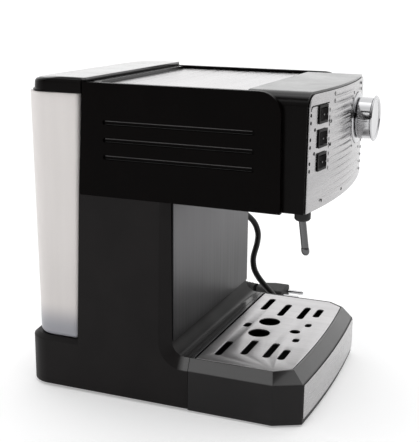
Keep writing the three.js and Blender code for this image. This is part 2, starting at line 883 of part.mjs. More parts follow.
add(
  "tank_valve_cap",
  turned(
    [
      [3.2, TANK_BOTTOM - 3],
      [6.7, TANK_BOTTOM - 3],
      [6.7, TANK_BOTTOM + TANK_WALL + 0.3],
      [10, TANK_BOTTOM + TANK_WALL + 0.3],
      [10, TANK_BOTTOM + TANK_WALL + 2.5],
      [3.2, TANK_BOTTOM + TANK_WALL + 2.5],
    ],
    TANK_PORT.x,
    TANK_PORT.y,
    20,
  ),
  BLACK,
);
add(
  "tank_valve",
  turned(
    [
      [0, TANK_BOTTOM - 1.5],
      [2.8, TANK_BOTTOM - 1.5],
      [2.8, TANK_BOTTOM + TANK_WALL + 3],
      [6, TANK_BOTTOM + TANK_WALL + 3],
      [6, TANK_BOTTOM + TANK_WALL + 5],
      [0, TANK_BOTTOM + TANK_WALL + 5],
    ],
    TANK_PORT.x,
    TANK_PORT.y,
    20,
  ),
  RUBBER,
);
add(
  "tank_seat",
  turned(
    [
      [7.6, 32],
      [11, 32],
      [11, BASE_TOP - 0.2],
      [7.6, BASE_TOP - 0.2],
    ],
    TANK_PORT.x,
    TANK_PORT.y,
    20,
  ),
  SILICONE,
);

// The lid is hinged along its front edge, just above the head's rear edge.
function tankLid() {
  const plan = (inset, rearInset) => {
    const radius = TANK_RADIUS;
    const [side, rear] = [LID_SIDE - inset, LID_REAR - rearInset];
    return [
      [-side, HEAD_REAR + 1.2],
      [side, HEAD_REAR + 1.2],
      ...arc(side - radius, rear - radius, radius, 0, 90, 6),
      ...arc(-side + radius, rear - radius, radius, 90, 180, 6),
    ];
  };
  const body = loft([
    at(plan(0, -1.5), LID_BOTTOM),
    at(plan(0, -1.5), LID_BOTTOM + 1.5),
    at(plan(0, 0), LID_BOTTOM + 2),
    at(plan(0, 0.5), LID_TOP - 5),
    at(plan(0.6, 5), LID_TOP - 2),
    at(plan(2, 16), LID_TOP),
  ]);
  const lipSide = LID_SIDE - 1.5;
  const lip = box(-lipSide, LID_FRONT, HEAD_TOP + GAP, lipSide, HEAD_REAR + 8, LID_TOP - 0.01);
  const inside = LID_SIDE - 5;
  const hollow = box(-inside, HEAD_REAR + 5, LID_BOTTOM - 1, inside, LID_REAR - 20, LID_TOP - WALL);
  return cut(join(body, lip), hollow);
}
add("tank_lid", tankLid(), BLACK);

// ---------------------------------------------------------------- mains lead
// The gland is a tapered strain relief in the right-hand side of the column.
function gland() {
  const ring = (x, radius) => circle(GLAND.y, GLAND.z, radius, 12).map(([y, z]) => [x, y, z]);
  const shank = loft([ring(SIDE - 4, 5), ring(SIDE + GAP, 5)]);
  const boot = loft([
    ring(SIDE + GAP, 8),
    ring(SIDE + 3, 8),
    ring(SIDE + 3.5, 6),
    ring(SIDE + GLAND.length, 4.4),
  ]);
  return join(shank, boot);
}
add("cord_gland", gland(), RUBBER);

const EXIT_X = SIDE + GLAND.length + GAP;
const LEAD = [
  [EXIT_X, GLAND.y, GLAND.z],
  [137, 23.5, 121.7],
  [145, 20.5, 119.2],
  [153, 16, 114],
  [159.5, 10, 104.5],
  [161.5, 6.5, 92],
  [160, 7.5, 79],
  [157.5, 10, 66],
  [157, 8.5, 53],
  [158.5, 2.5, 41.5],
  [158.5, -6.5, 32],
  [155.5, -16.5, 24],
  [148, -24.5, 17.5],
  [136.5, -28, 11.5],
  [124.5, -25.5, 7.5],
  [114.5, -17.5, 5],
  [109, -5.5, 3.5],
  [108.5, 7.5, 3.5],
  [110, 20.5, 3.5],
  [112, 33.5, 3.5],
  [114, 46.5, 3.5],
  [116, 59.5, 3.5],
  [117.5, 72.5, 3.5],
  [118.5, 86, 3.5],
];
add("cord_lead", bar(LEAD, CORD_RADIUS, 8, 56), RUBBER);

add(
  "cord_coil",
  turned(
    [
      [COIL.inner, 0.3],
      [COIL.outer, 0.3],
      [COIL.outer, COIL.height],
      [COIL.inner, COIL.height],
    ],
    COIL.x,
    COIL.y,
    32,
  ),
  RUBBER,
);

const RELIEF_REAR = [236.5, 55, 6.2];
const TAIL = [
  RELIEF_REAR,
  [242.5, 64, 4.4],
  [248.5, 76, 3.5],
  [251.5, 90, 3.5],
  [250, 105, 3.5],
  [243, 120, 3.5],
  [230, 132, 3.6],
  [215, 137, 5],
  [200, 136, 8],
  [190, 134, 9.3],
];
add("cord_tail", bar(TAIL, CORD_RADIUS, 8, 30), RUBBER);

// ---------------------------------------------------------------- mains plug
const PLUG_Z = PLUG.height / 2;
function plugBody() {
  const [half, shoulder] = [PLUG.width / 2, PLUG.front + PLUG.shoulder];
  const plan = (inset) => [
    [PLUG.x - half + inset, PLUG.front],
    [PLUG.x + half - inset, PLUG.front],
    [PLUG.x + half - inset, shoulder],
    [PLUG.x + 11 - inset, PLUG.front + PLUG.length],
    [PLUG.x - 7 + inset, PLUG.front + PLUG.length],
    [PLUG.x - half + inset, shoulder],
  ];
  return loft([at(plan(2), 0.1), at(plan(0), 2.5), at(plan(0), PLUG.height - 2.5), at(plan(2), PLUG.height)]);
}
add("plug_body", plugBody(), RUBBER);
for (const [name, side] of [
  ["plug_pin_left", -1],
  ["plug_pin_right", 1],
])
{
  const rear = PLUG.front - GAP;
  const outline = circle(PLUG.x + (side * PIN.gap) / 2, PLUG_Z, PIN.radius, 12);
  add(name, prismY(outline, rear - PIN.length, rear), CHROME);
}

function plugRelief() {
  const start = new THREE.Vector3(PLUG.x + 3, PLUG.front + PLUG.length + GAP, PLUG_Z);
  const end = new THREE.Vector3(...RELIEF_REAR);
  const along = end.clone().sub(start).normalize();
  const across = new THREE.Vector3(along.y, -along.x, 0).normalize();
  const up = new THREE.Vector3().crossVectors(across, along);
  const ring = (share, radius) => {
    const centre = start.clone().lerp(end, share);
    const place = ([a, b]) => centre.clone().addScaledVector(across, a).addScaledVector(up, b).toArray();
    return circle(0, 0, radius, 12).map(place);
  };
  return loft([ring(0.1, 6.2), ring(0.3, 5.6), ring(0.975, 4.2)]);
}
add("plug_relief", plugRelief(), RUBBER);

export default machine;
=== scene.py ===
"""Looks of a slim pump espresso machine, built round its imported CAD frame."""

import json
import math

import bmesh
import bpy
from mathutils import Matrix, Vector


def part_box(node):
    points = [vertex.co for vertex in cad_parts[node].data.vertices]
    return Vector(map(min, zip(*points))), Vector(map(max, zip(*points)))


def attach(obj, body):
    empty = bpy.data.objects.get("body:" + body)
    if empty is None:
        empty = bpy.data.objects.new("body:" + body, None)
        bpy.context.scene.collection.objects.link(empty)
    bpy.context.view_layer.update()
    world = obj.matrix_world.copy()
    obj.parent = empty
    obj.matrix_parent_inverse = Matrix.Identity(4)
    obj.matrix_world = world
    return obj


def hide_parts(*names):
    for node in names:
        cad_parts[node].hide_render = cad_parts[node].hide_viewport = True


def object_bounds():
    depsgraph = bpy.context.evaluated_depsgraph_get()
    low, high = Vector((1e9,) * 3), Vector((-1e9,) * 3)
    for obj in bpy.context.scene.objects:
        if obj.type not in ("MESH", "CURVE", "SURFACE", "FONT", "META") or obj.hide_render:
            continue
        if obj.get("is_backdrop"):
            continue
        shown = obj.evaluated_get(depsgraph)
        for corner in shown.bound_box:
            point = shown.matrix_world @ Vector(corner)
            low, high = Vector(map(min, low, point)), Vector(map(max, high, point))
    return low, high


bl_info = {
    "name": "Espresso machine",
    "version": (1, 0, 0),
    "blender": (4, 5, 0),
    "location": "3D View > Sidebar > Espresso",
    "description": "Builds the finished pieces of an espresso machine round its packed frame",
    "category": "Object",
}

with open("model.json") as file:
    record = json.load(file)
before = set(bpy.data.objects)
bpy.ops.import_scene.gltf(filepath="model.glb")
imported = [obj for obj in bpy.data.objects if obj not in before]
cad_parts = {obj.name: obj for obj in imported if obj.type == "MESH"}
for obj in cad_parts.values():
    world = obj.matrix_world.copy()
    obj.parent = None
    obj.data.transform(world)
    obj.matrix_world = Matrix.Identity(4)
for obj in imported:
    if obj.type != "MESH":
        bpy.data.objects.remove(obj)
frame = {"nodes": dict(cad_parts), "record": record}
CAD_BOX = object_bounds()

MM = 0.001
COLLECTION = bpy.context.scene.collection


def box_mm(node):
    """A CAD node's lowest and highest corners in millimetres."""
    low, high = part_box(node)
    return low / MM, high / MM


SHELL_LOW, SHELL_HIGH = box_mm("body_shell")
HOUSING_LOW, HOUSING_HIGH = box_mm("head_housing")
PANEL_LOW, PANEL_HIGH = box_mm("front_panel")
TRAY_LOW, TRAY_HIGH = box_mm("drip_tray")
TANK_LOW, TANK_HIGH = box_mm("water_tank")
LID_LOW, LID_HIGH = box_mm("tank_lid")
KNOB_LOW, KNOB_HIGH = box_mm("steam_knob")
FLANGE_LOW, FLANGE_HIGH = box_mm("knob_flange")
CAP_LOW, CAP_HIGH = box_mm("knob_cap")

# Millimetres, as in the frame: +X right seen from the front, the front faces -Y, +Z up.
SIDE = SHELL_HIGH.x  # half the width over the side panels
SIDE_INNER = SIDE - 5
SEAM_Y = SHELL_LOW.y
BASE_BOTTOM = SHELL_LOW.z
BASE_REAR = SHELL_HIGH.y
BASE_REAR_RADIUS = 23
BASE_RIM_Z = 45
BASE_TOP = TRAY_HIGH.z
FOOT_Y, FOOT_Z = -16, 61
FOOT_OUTER_RADIUS, FOOT_INNER_RADIUS = 23.5, 12.5
COLUMN_REAR_LOW, COLUMN_REAR_HIGH = 86.5, 81.5
COLUMN_TOP = SHELL_HIGH.z
FRONT_BULGE = 8.3
HEAD_SIDE = HOUSING_HIGH.x
HEAD_FILLET = 11
PANEL_FACE = PANEL_LOW.y + FRONT_BULGE  # the panel's face at its side edges
PANEL_THICK = 1.2
PANEL_SIDE = PANEL_HIGH.x - 1.8
PANEL_FOOT = HOUSING_LOW.z + 0.3
PANEL_TOP = PANEL_HIGH.z - 1.4
KNOB_X = (KNOB_LOW.x + KNOB_HIGH.x) / 2
KNOB_Z = (KNOB_LOW.z + KNOB_HIGH.z) / 2
SWITCH_X = -68
SWITCH_Z = (260.6, 241.6, 222.9)
TRAY_CORNER_X, TRAY_CORNER_Y = 88.2, -96.6
TRAY_BULGE = 3.4
GRID_HIDDEN_EDGE = 1.1  # how far the grid stops short of the column's foot
# The grid's slots on one side of its middle: X, Y and length.
GRID_SLOTS = ((62.5, -39, 35), (52.5, -59.2, 35), (51.5, -79.2, 35), (56.5, -92.3, 24))
GROUP = (0, -54)
GROUP_BORE = 30.5
TANK_PORT = (0, 110)
GLAND_Y, GLAND_Z = 24, 122
PLUG_X = 219
GROOVE_Z = (246.7, 232, 217.5)
GROOVE_ENDS = (-73.5, 55.5)
DIMPLE_RING = 31.5  # radius of the dimples round the knob
PLUG_Z = 6.9

# The mains lead: from the gland to the coil, and from the coil to the plug's relief.
LEAD_ROUTE = (
    (130.3, 24, 122), (137, 23.5, 121.7), (145, 20.5, 119.2), (153, 16, 114), (159.5, 10, 104.5),
    (161.5, 6.5, 92), (160, 7.5, 79), (157.5, 10, 66), (157, 8.5, 53), (158.5, 2.5, 41.5), (158.5, -6.5, 32),
    (155.5, -16.5, 24), (148, -24.5, 17.5), (136.5, -28, 11.5), (124.5, -25.5, 7.5), (114.5, -17.5, 5),
    (109, -5.5, 3.5), (108.5, 7.5, 3.5), (110, 20.5, 3.5), (112, 33.5, 3.5), (114, 46.5, 3.5),
    (116, 59.5, 3.5), (117.5, 72.5, 3.5), (118.5, 86, 3.5),
)
TAIL_ROUTE = (
    (236.5, 55, 6.2), (242.5, 64, 4.4), (248.5, 76, 3.5), (251.5, 90, 3.5), (250, 105, 3.5),
    (243, 120, 3.5), (230, 132, 3.6), (215, 137, 5), (200, 136, 8), (190, 134, 9.3),
)
COIL_CENTRE = (165, 94)
# How far the lead has turned round the coil, in degrees, with its radius and height there.
COIL_STAGES = (
    (0, 47.2, 3.5), (60, 38.25, 3.55), (340, 38.25, 3.55), (400, 31.75, 3.55), (700, 31.75, 3.55),
    (760, 31.75, 10.05), (1030, 31.75, 10.05), (1090, 38.25, 10.05), (1162, 38.25, 10.05),
)
COIL_START = 189.8  # degrees round the coil where the lead joins it


# ------------------------------------------------------------------------------------------
# Sizes and colours


def length_property(name, description, default, least, most):
    """A length with its default and limits in millimetres."""
    limits = dict(default=default * MM, min=least * MM, max=most * MM)
    return bpy.props.FloatProperty(name=name, description=description, unit="LENGTH", **limits)


class EspressoSizes(bpy.types.PropertyGroup):
    """Sizes of the finished pieces' details."""

    moulded_edge: length_property("Moulded edge", "Rounding on the edges of the moulded pieces", 0.9, 0.1, 2)
    sheet_edge: length_property("Sheet edge", "Rounding on the edges of the steel pieces", 0.35, 0.05, 1)
    rib_pitch: length_property("Rib pitch", "Distance between the front panel's ribs", 5.9, 2, 20)
    rib_width: length_property("Rib width", "Height of each rib seen from the front", 4.4, 1, 10)
    rib_proud: length_property("Rib depth", "How far each rib stands proud of the panel", 1.0, 0.1, 3)
    dimple_radius: length_property("Dimple radius", "Radius of the dark dimples in the panel", 1.5, 0.2, 3)
    cord_diameter: length_property("Lead diameter", "Diameter of the mains lead", 6.5, 3, 12)
    turning_steps: bpy.props.IntProperty(
        name="Turning steps", description="Faces round each turned piece", default=72, min=16, max=160)


def colour_property(name, description, default):
    return bpy.props.FloatVectorProperty(
        name=name, description=description, subtype="COLOR", size=4, min=0, max=1, default=(*default, 1))


class EspressoColours(bpy.types.PropertyGroup):
    """Base colours of the finishes, in linear light."""

    soft_black: colour_property("Soft black", "Matt plastic of the base and column", (0.009, 0.008, 0.008))
    tray_black: colour_property("Tray black", "Matt plastic of the drip tray", (0.0165, 0.0155, 0.0158))
    deep_black: colour_property("Deep black", "Smooth plastic of the head and lid", (0.0024, 0.0018, 0.0017))
    steel: colour_property("Steel", "Brushed stainless steel", (0.60, 0.59, 0.595))
    splash: colour_property("Splash plate", "Dull steel behind the cups", (0.082, 0.080, 0.084))
    chrome: colour_property("Chrome", "Plating of the knob", (0.55, 0.55, 0.56))
    tank: colour_property("Tank", "Milky plastic of the water tank", (0.83, 0.79, 0.77))
    # Painted shade for the tank's lower part.
    tank_shade: colour_property("Tank's foot", "The tank's darker foot", (0.26, 0.27, 0.315))
    rubber: colour_property("Rubber", "Rubber and lead jacket", (0.010, 0.0095, 0.0095))
    aluminium: colour_property("Aluminium", "Cast aluminium", (0.50, 0.51, 0.52))
    brass: colour_property("Brass", "Turned brass", (0.60, 0.42, 0.20))
    silicone: colour_property("Silicone", "Hoses and seals", (0.52, 0.48, 0.40))


class EspressoStage(bpy.types.PropertyGroup):
    """The camera and the light."""

    azimuth: bpy.props.FloatProperty(
        name="Azimuth", description="Where the camera stands round the machine",
        default=math.radians(-68.44), subtype="ANGLE", unit="ROTATION")
    elevation: bpy.props.FloatProperty(
        name="Elevation", description="How far the camera looks down",
        default=math.radians(14.29), subtype="ANGLE", unit="ROTATION")
    roll: bpy.props.FloatProperty(
        name="Roll", description="Turn of the camera about its own line of sight",
        default=math.radians(0.65), subtype="ANGLE", unit="ROTATION")
    distance: bpy.props.FloatProperty(
        name="Distance", description="From the camera to the middle of the machine", default=0.8492,
        unit="LENGTH")
    middle: bpy.props.FloatVectorProperty(
        name="Middle", description="The point that the camera looks at", default=(0, 0.0002, 0.1452),
        subtype="TRANSLATION", unit="LENGTH")
    lens: bpy.props.FloatProperty(
        name="Lens", description="Focal length in millimetres", default=74.2, unit="CAMERA")
    sky: bpy.props.FloatProperty(
        name="Sky", description="Brightness of the studio behind the machine", default=1.2)
    key: bpy.props.FloatProperty(
        name="Key light", description="Strength of the soft light overhead", default=1.0)
    fill: bpy.props.FloatProperty(
        name="Side fill", description="Power of the softbox beside the machine", default=4, unit="POWER")


# ------------------------------------------------------------------------------------------
# Node graphs


class Link:
    """A node's output. Arithmetic on it adds Math nodes to its graph."""

    def __init__(self, graph, socket):
        self.graph, self.socket = graph, socket

    def maths(self, operation, *values):
        return self.graph.add("ShaderNodeMath", {"operation": operation}, dict(enumerate(values)))

    def __add__(self, other):
        return self.maths("ADD", self, other)

    def __sub__(self, other):
        return self.maths("SUBTRACT", self, other)

    def __rsub__(self, other):
        return self.maths("SUBTRACT", other, self)

    def __mul__(self, other):
        return self.maths("MULTIPLY", self, other)

    def __truediv__(self, other):
        return self.maths("DIVIDE", self, other)

    def __lt__(self, other):
        return self.maths("LESS_THAN", self, other)

    def __gt__(self, other):
        return self.maths("GREATER_THAN", self, other)


class Graph:
    """A node tree that is filled through one method."""

    def __init__(self, tree):
        self.tree = tree

    def add(self, kind, settings=None, inputs=None, output=0):
        """Adds a node: its settings first, then its sockets' values or links, by name or number."""
        node = self.tree.nodes.new(kind)
        for name, value in (settings or {}).items():
            if name == "stops":
                self.set_stops(node.color_ramp, value)
            else:
                setattr(node, name, value)
        for key, value in (inputs or {}).items():
            for one in value if isinstance(value, list) else [value]:
                if isinstance(one, Link):
                    self.tree.links.new(one.socket, node.inputs[key])
                else:
                    node.inputs[key].default_value = one
        return Link(self, node.outputs[output]) if len(node.outputs) else None

    @staticmethod
    def set_stops(ramp, stops):
        while len(ramp.elements) < len(stops):
            ramp.elements.new(1)
        for element, (position, colour) in zip(ramp.elements, stops):
            element.position, element.color = position, colour


class Finish(Graph):
    """A procedural material whose patterns read Object coordinates."""

    def __init__(self, name):
        self.material = bpy.data.materials.new(name)
        self.material.use_nodes = True
        super().__init__(self.material.node_tree)
        self.tree.nodes.clear()
        self.place = self.add("ShaderNodeTexCoord", output="Object")

    def stretched(self, scale):
        return self.add("ShaderNodeMapping", {"vector_type": "POINT"}, {"Vector": self.place, "Scale": scale})

    def noise(self, scale, detail=2, stretch=(1, 1, 1), roughness=0.5):
        values = {"Vector": self.stretched(stretch), "Scale": scale, "Detail": detail, "Roughness": roughness}
        return self.add("ShaderNodeTexNoise", {}, values)

    def height(self):
        """The Object Z coordinate in metres."""
        return self.add("ShaderNodeSeparateXYZ", {}, {"Vector": self.place}, "Z")

    def depth(self):
        """The Object Y coordinate in metres."""
        return self.add("ShaderNodeSeparateXYZ", {}, {"Vector": self.place}, "Y")

    def blend(self, share, first, second):
        settings = {"data_type": "RGBA", "clamp_factor": True}
        return self.add("ShaderNodeMix", settings, {0: share, 6: first, 7: second}, 2)

    def ranged(self, value, low, high, start=0, end=1, smooth="LINEAR"):
        values = {"Value": value, "From Min": low, "From Max": high, "To Min": start, "To Max": end}
        return self.add("ShaderNodeMapRange", {"interpolation_type": smooth}, values)

    def bump(self, height, strength, distance):
        return self.add("ShaderNodeBump", {}, {"Height": height, "Strength": strength, "Distance": distance})

    def done(self, **sockets):
        values = {name.replace("_", " "): value for name, value in sockets.items()}
        surface = self.add("ShaderNodeBsdfPrincipled", {}, values)
        self.add("ShaderNodeOutputMaterial", {}, {"Surface": surface})
        return self.material


def darker(colour, share):
    return (*(channel * share for channel in colour[:3]), 1)


def moulded(name, colour, grain, gloss, specular, shine=None):
    """Moulded plastic: a fine even grain, faint clouding, and handling marks in the gloss.

    With shine it is polished upwards from a first to a second height and in front of a Y, to a share.
    """
    f = Finish(name)
    cloud = f.noise(28, 3)
    spark = f.noise(grain, 2, roughness=0.6)
    rough = f.ranged(cloud, 0.3, 0.7, gloss - 0.05, gloss + 0.06) + (spark - 0.5) * 0.08
    base = f.blend(f.ranged(cloud, 0.35, 0.65), darker(colour, 0.86), darker(colour, 1.14))
    polish = 0.0
    if shine:
        low, high, rear, share = shine
        polish = f.ranged(f.height(), low * MM, high * MM) * f.ranged(f.depth(), rear, rear + 0.006, share, 0)
    return f.done(Base_Color=base, Roughness=rough, Specular_IOR_Level=specular, Coat_Weight=polish,
                  Coat_Roughness=0.16, Coat_IOR=1.9, Normal=f.bump(spark, 0.16, 0.00012))


def brushed(name, colour, along, rough, strength=0.12, foot=None):
    """Brushed sheet metal: fine streaks along one axis, in its gloss, its colour and its surface.

    With foot, a lowest and a highest height in metres, painted shade darkens it downwards between them.
    """
    f = Finish(name)
    fine = tuple(6 if axis == along else 620 for axis in range(3))
    broad = tuple(2 if axis == along else 60 for axis in range(3))
    streak = f.noise(1, 3, fine, 0.65)
    band = f.noise(1, 2, broad)
    cloud = f.noise(14, 2)
    mixed = f.ranged(streak * 0.6 + band * 0.4, 0.36, 0.64)
    base = f.blend(mixed, darker(colour, 0.88), darker(colour, 1.08))
    if foot:
        # Painted shade: the colour darkens towards the bottom of the plate.
        stain = f.ranged(f.height() + (cloud - 0.5) * 0.02, *foot, 1, 0, "SMOOTHSTEP")
        base = f.blend(stain * 0.8, base, darker(colour, 0.12))
    gloss = f.ranged(streak, 0.3, 0.7, rough - 0.05, rough + 0.09) + (cloud - 0.5) * 0.08
    return f.done(Base_Color=base, Metallic=1, Roughness=gloss, Normal=f.bump(streak, strength, 0.00006))


def polished(name, colour, rough=0.06):
    """Bright plating with the faintest clouding."""
    f = Finish(name)
    cloud = f.noise(60, 3)
    base = f.blend(f.ranged(cloud, 0.3, 0.7), darker(colour, 0.95), colour)
    return f.done(Base_Color=base, Metallic=1, Roughness=f.ranged(cloud, 0.3, 0.75, rough, rough + 0.07),
                  Normal=f.bump(f.noise(220, 2), 0.02, 0.00005))


def cast(name, colour, rough):
    """Cast or turned metal with a coarse skin."""
    f = Finish(name)
    skin = f.noise(900, 4, roughness=0.7)
    cloud = f.noise(45, 2)
    base = f.blend(f.ranged(cloud, 0.3, 0.7), darker(colour, 0.8), darker(colour, 1.1))
    gloss = f.ranged(skin, 0.3, 0.7, rough - 0.07, rough + 0.1)
    return f.done(Base_Color=base, Metallic=1, Roughness=gloss, Normal=f.bump(skin, 0.25, 0.0002))


def soft(name, colour, rough, subsurface=0.0):
    """Rubber or silicone: dull, with a powdery skin."""
    f = Finish(name)
    dust = f.noise(420, 3, roughness=0.6)
    cloud = f.noise(35, 2)
    base = f.blend(f.ranged(cloud, 0.35, 0.7), colour, darker(colour, 1.35))
    return f.done(Base_Color=base, Roughness=f.ranged(dust, 0.3, 0.7, rough - 0.06, rough + 0.08),
                  Specular_IOR_Level=0.35, Subsurface_Weight=subsurface, Normal=f.bump(dust, 0.12, 0.0001))


def milky(name, colour, shade):
    """Milky tank plastic: brighter above, with painted shade in a cooler darker colour at its foot and on its
    lower wall, and faint flow marks down its walls.
    """
    f = Finish(name)
    height = f.height()
    flow = f.noise(1, 3, (90, 90, 6))
    cloud = f.noise(9, 2)
    # Painted shade: the foot blends to the darker, cooler shade colour and the lower wall darkens, so the
    # tank is brighter above.
    foot = f.ranged(height + (cloud - 0.5) * 0.012, 0.056, 0.082, 1, 0, "SMOOTHSTEP")
    lower = f.ranged(height, 0.06, 0.16, 1, 0, "SMOOTHSTEP")
    wall = f.blend(f.ranged(flow, 0.35, 0.65), darker(colour, 0.965), colour)
    wall = f.blend(lower * 0.16, wall, darker(colour, 0.6))
    base = f.blend(foot * 0.8, wall, shade)
    return f.done(Base_Color=base, Roughness=f.ranged(cloud, 0.3, 0.7, 0.28, 0.38), Specular_IOR_Level=0.4,
                  Subsurface_Weight=0.15, Subsurface_Radius=(0.01, 0.01, 0.01), Subsurface_Scale=0.4,
                  Alpha=0.97, Normal=f.bump(flow, 0.05, 0.0002))


def paper(name):
    """Pale paper that glows a little, so that shadows on it stay soft."""
    f = Finish(name)
    cloud = f.noise(3, 2)
    base = f.blend(cloud, (0.80, 0.80, 0.805, 1), (0.84, 0.84, 0.84, 1))
    return f.done(Base_Color=base, Roughness=0.8, Specular_IOR_Level=0.1, Emission_Color=(1, 1, 1, 1),
                  Emission_Strength=0.31)


FINISHES = {}


def make_finishes(colours):
    c = {name: tuple(getattr(colours, name)) for name in colours.__annotations__}
    FINISHES.update(
        soft_black=moulded("moulded soft black", c["soft_black"], 1500, 0.44, 0.10),
        base_black=moulded("moulded base black", darker(c["soft_black"], 1.2), 1500, 0.44, 0.10,
                           (37.4, 38.4, -0.016, 0.7)),
        deep_black=moulded("smooth deep black", c["deep_black"], 900, 0.25, 0.03),
        tray_black=moulded("moulded tray black", c["tray_black"], 1500, 0.46, 0.16, (37.6, 38.6, 1, 0.6)),
        head_black=moulded("smooth head black", c["deep_black"], 900, 0.22, 0.06,
                           (HOUSING_HIGH.z - 8, HOUSING_HIGH.z - 1, 1, 0.5)),
        lid_black=moulded("smooth lid black", darker(c["deep_black"], 1.2), 900, 0.24, 0.06,
                          (LID_HIGH.z - 2.2, LID_HIGH.z - 1.2, 1, 1)),
        steel_x=brushed("steel brushed across", c["steel"], 0, 0.26),
        steel_y=brushed("steel brushed lengthwise", c["steel"], 1, 0.40),
        # The splash plate gets painted shade low down, from 155 mm down to 70 mm.
        splash=brushed("splash plate steel", c["splash"], 2, 0.34, foot=(0.07, 0.155)),
        panel=brushed("front panel steel", darker(c["steel"], 0.70), 0, 0.24, 0.08),
        chrome=polished("knob chrome", c["chrome"], 0.05),
        # Painted reflection: the wand's steel is darkened to stand for the dark surroundings it reflects.
        tube=polished("wand steel", darker(c["chrome"], 0.22), 0.16),
        tank=milky("milky tank", c["tank"], c["tank_shade"]),
        rubber=soft("black rubber", c["rubber"], 0.62),
        jacket=soft("lead jacket", darker(c["rubber"], 0.8), 0.42),
        # Painted shade: near-black colour put in holes, vent slots, dimples and the panel's crease, where
        # shade falls.
        hollow=soft("dark hollow", darker(c["rubber"], 0.35), 0.8),
        aluminium=cast("cast aluminium", c["aluminium"], 0.42),
        brass=cast("turned brass", c["brass"], 0.3),
        silicone=soft("silicone", c["silicone"], 0.5, 0.1),
        # Painted highlights: grey strips that stand for light caught on the edges of the side panels'
        # grooves, brighter above and dimmer below.
        lip=soft("groove lip", (0.055, 0.052, 0.052, 1), 0.45),
        dim_lip=soft("dim groove lip", (0.012, 0.0115, 0.0115, 1), 0.5),
        mark=soft("switch mark", (0.16, 0.16, 0.16, 1), 0.5),
        floor=paper("pale floor"),
    )


# ------------------------------------------------------------------------------------------
# Shapes, in millimetres


def arc(cx, cy, radius, start, end, steps):
    """Points round part of a circle, both ends included."""
    turns = [math.radians(start + (end - start) * i / steps) for i in range(steps + 1)]
    return [(cx + radius * math.cos(t), cy + radius * math.sin(t)) for t in turns]


def rounded(x0, y0, x1, y1, radius, steps=8):
    """A rectangle with round corners, anticlockwise."""
    return [
        *arc(x1 - radius, y0 + radius, radius, -90, 0, steps),
        *arc(x1 - radius, y1 - radius, radius, 0, 90, steps),
        *arc(x0 + radius, y1 - radius, radius, 90, 180, steps),
        *arc(x0 + radius, y0 + radius, radius, 180, 270, steps),
    ]


def circle(cx, cy, radius, steps=48):
    return arc(cx, cy, radius, 0, 360, steps)[:-1]


def slot(cx, cy, length, width):
    half = width / 2
    return rounded(cx - length / 2, cy - half, cx + length / 2, cy + half, half - 0.01, 10)


def at(outline, z):
    return [(x, y, z) for x, y in outline]


def linked(name, mesh):
    piece = bpy.data.objects.new(name, mesh)
    COLLECTION.objects.link(piece)
    return piece


def mesh_of(name, points, faces):
    """A closed mesh in metres, from points in millimetres, with its faces turned out."""
    mesh = bpy.data.meshes.new(name)
    mesh.from_pydata([Vector(p) * MM for p in points], [], faces)
    tidy(mesh)
    return mesh


def tidy(mesh):
    """Merges doubled points, drops empty faces, and turns the faces out."""
    form = bmesh.new()
    form.from_mesh(mesh)
    bmesh.ops.remove_doubles(form, verts=form.verts, dist=1e-6)
    bmesh.ops.dissolve_degenerate(form, edges=form.edges, dist=1e-7)
    bmesh.ops.recalc_face_normals(form, faces=form.faces)
    form.to_mesh(mesh)
    form.free()


def lofted(name, sections):
    """A solid through closed sections with equal numbers of points, capped at both ends."""
    count = len(sections[0])
    faces = [tuple(range(count))[::-1], tuple(range((len(sections) - 1) * count, len(sections) * count))]
    for s in range(len(sections) - 1):
        for i in range(count):
            a, b = s * count + i, s * count + (i + 1) % count
            faces.append((a, b, b + count, a + count))
    return mesh_of(name, [p for section in sections for p in section], faces)


def turned(name, profile, origin, axis=(0, 0, 1), steps=72):
    """A turned solid: profile holds (radius, distance along the axis), closed on itself or on the axis."""
    turn = Vector((0, 0, 1)).rotation_difference(Vector(axis)).to_matrix()
    solid = profile[0][0] == 0
    points, rings = [], []
    for radius, along in profile:
        rings.append(len(points))
        angles = [2 * math.pi * i / steps for i in range(steps if radius else 1)]
        for t in angles:
            points.append(Vector(origin) + turn @ Vector((radius * math.cos(t), radius * math.sin(t), along)))
    faces = []
    for k in range(len(profile) - (1 if solid else 0)):
        a, b = rings[k], rings[(k + 1) % len(profile)]
        wide_a, wide_b = profile[k][0] > 0, profile[(k + 1) % len(profile)][0] > 0
        for i in range(steps):
            j = (i + 1) % steps
            corners = [a + i, a + j] if wide_a else [a]
            corners += [b + j, b + i] if wide_b else [b]
            if len(corners) > 2:
                faces.append(corners)
    return mesh_of(name, points, faces)


def flat_plate(name, outline, holes, low, high, edge):
    """A flat plate with holes and rounded edges, from outlines in the XY plane."""
    curve = bpy.data.curves.new(name, "CURVE")
    curve.dimensions, curve.fill_mode = "2D", "BOTH"
    curve.extrude = (high - low) / 2 * MM - edge
    curve.bevel_depth, curve.bevel_resolution, curve.offset = edge, 2, -edge
    for ring in [outline, *holes]:
        spline = curve.splines.new("POLY")
        spline.points.add(len(ring) - 1)
        for point, (x, y) in zip(spline.points, ring):
            point.co = (x * MM, y * MM, 0, 1)
        spline.use_cyclic_u = True
    shape = linked(name + "_outline", curve)
    mesh = baked_mesh(shape)
    bpy.data.objects.remove(shape)
    mesh.transform(Matrix.Translation((0, 0, (low + high) / 2 * MM)))
    tidy(mesh)
    return mesh


def baked_mesh(piece):
    """The piece's evaluated mesh, with its modifiers applied."""
    bpy.context.view_layer.update()
    graph = bpy.context.evaluated_depsgraph_get()
    evaluated = piece.evaluated_get(graph)
    return bpy.data.meshes.new_from_object(evaluated, preserve_all_data_layers=True, depsgraph=graph)


def applied(piece):
    mesh = baked_mesh(piece)
    piece.modifiers.clear()
    piece.data = mesh
    return piece


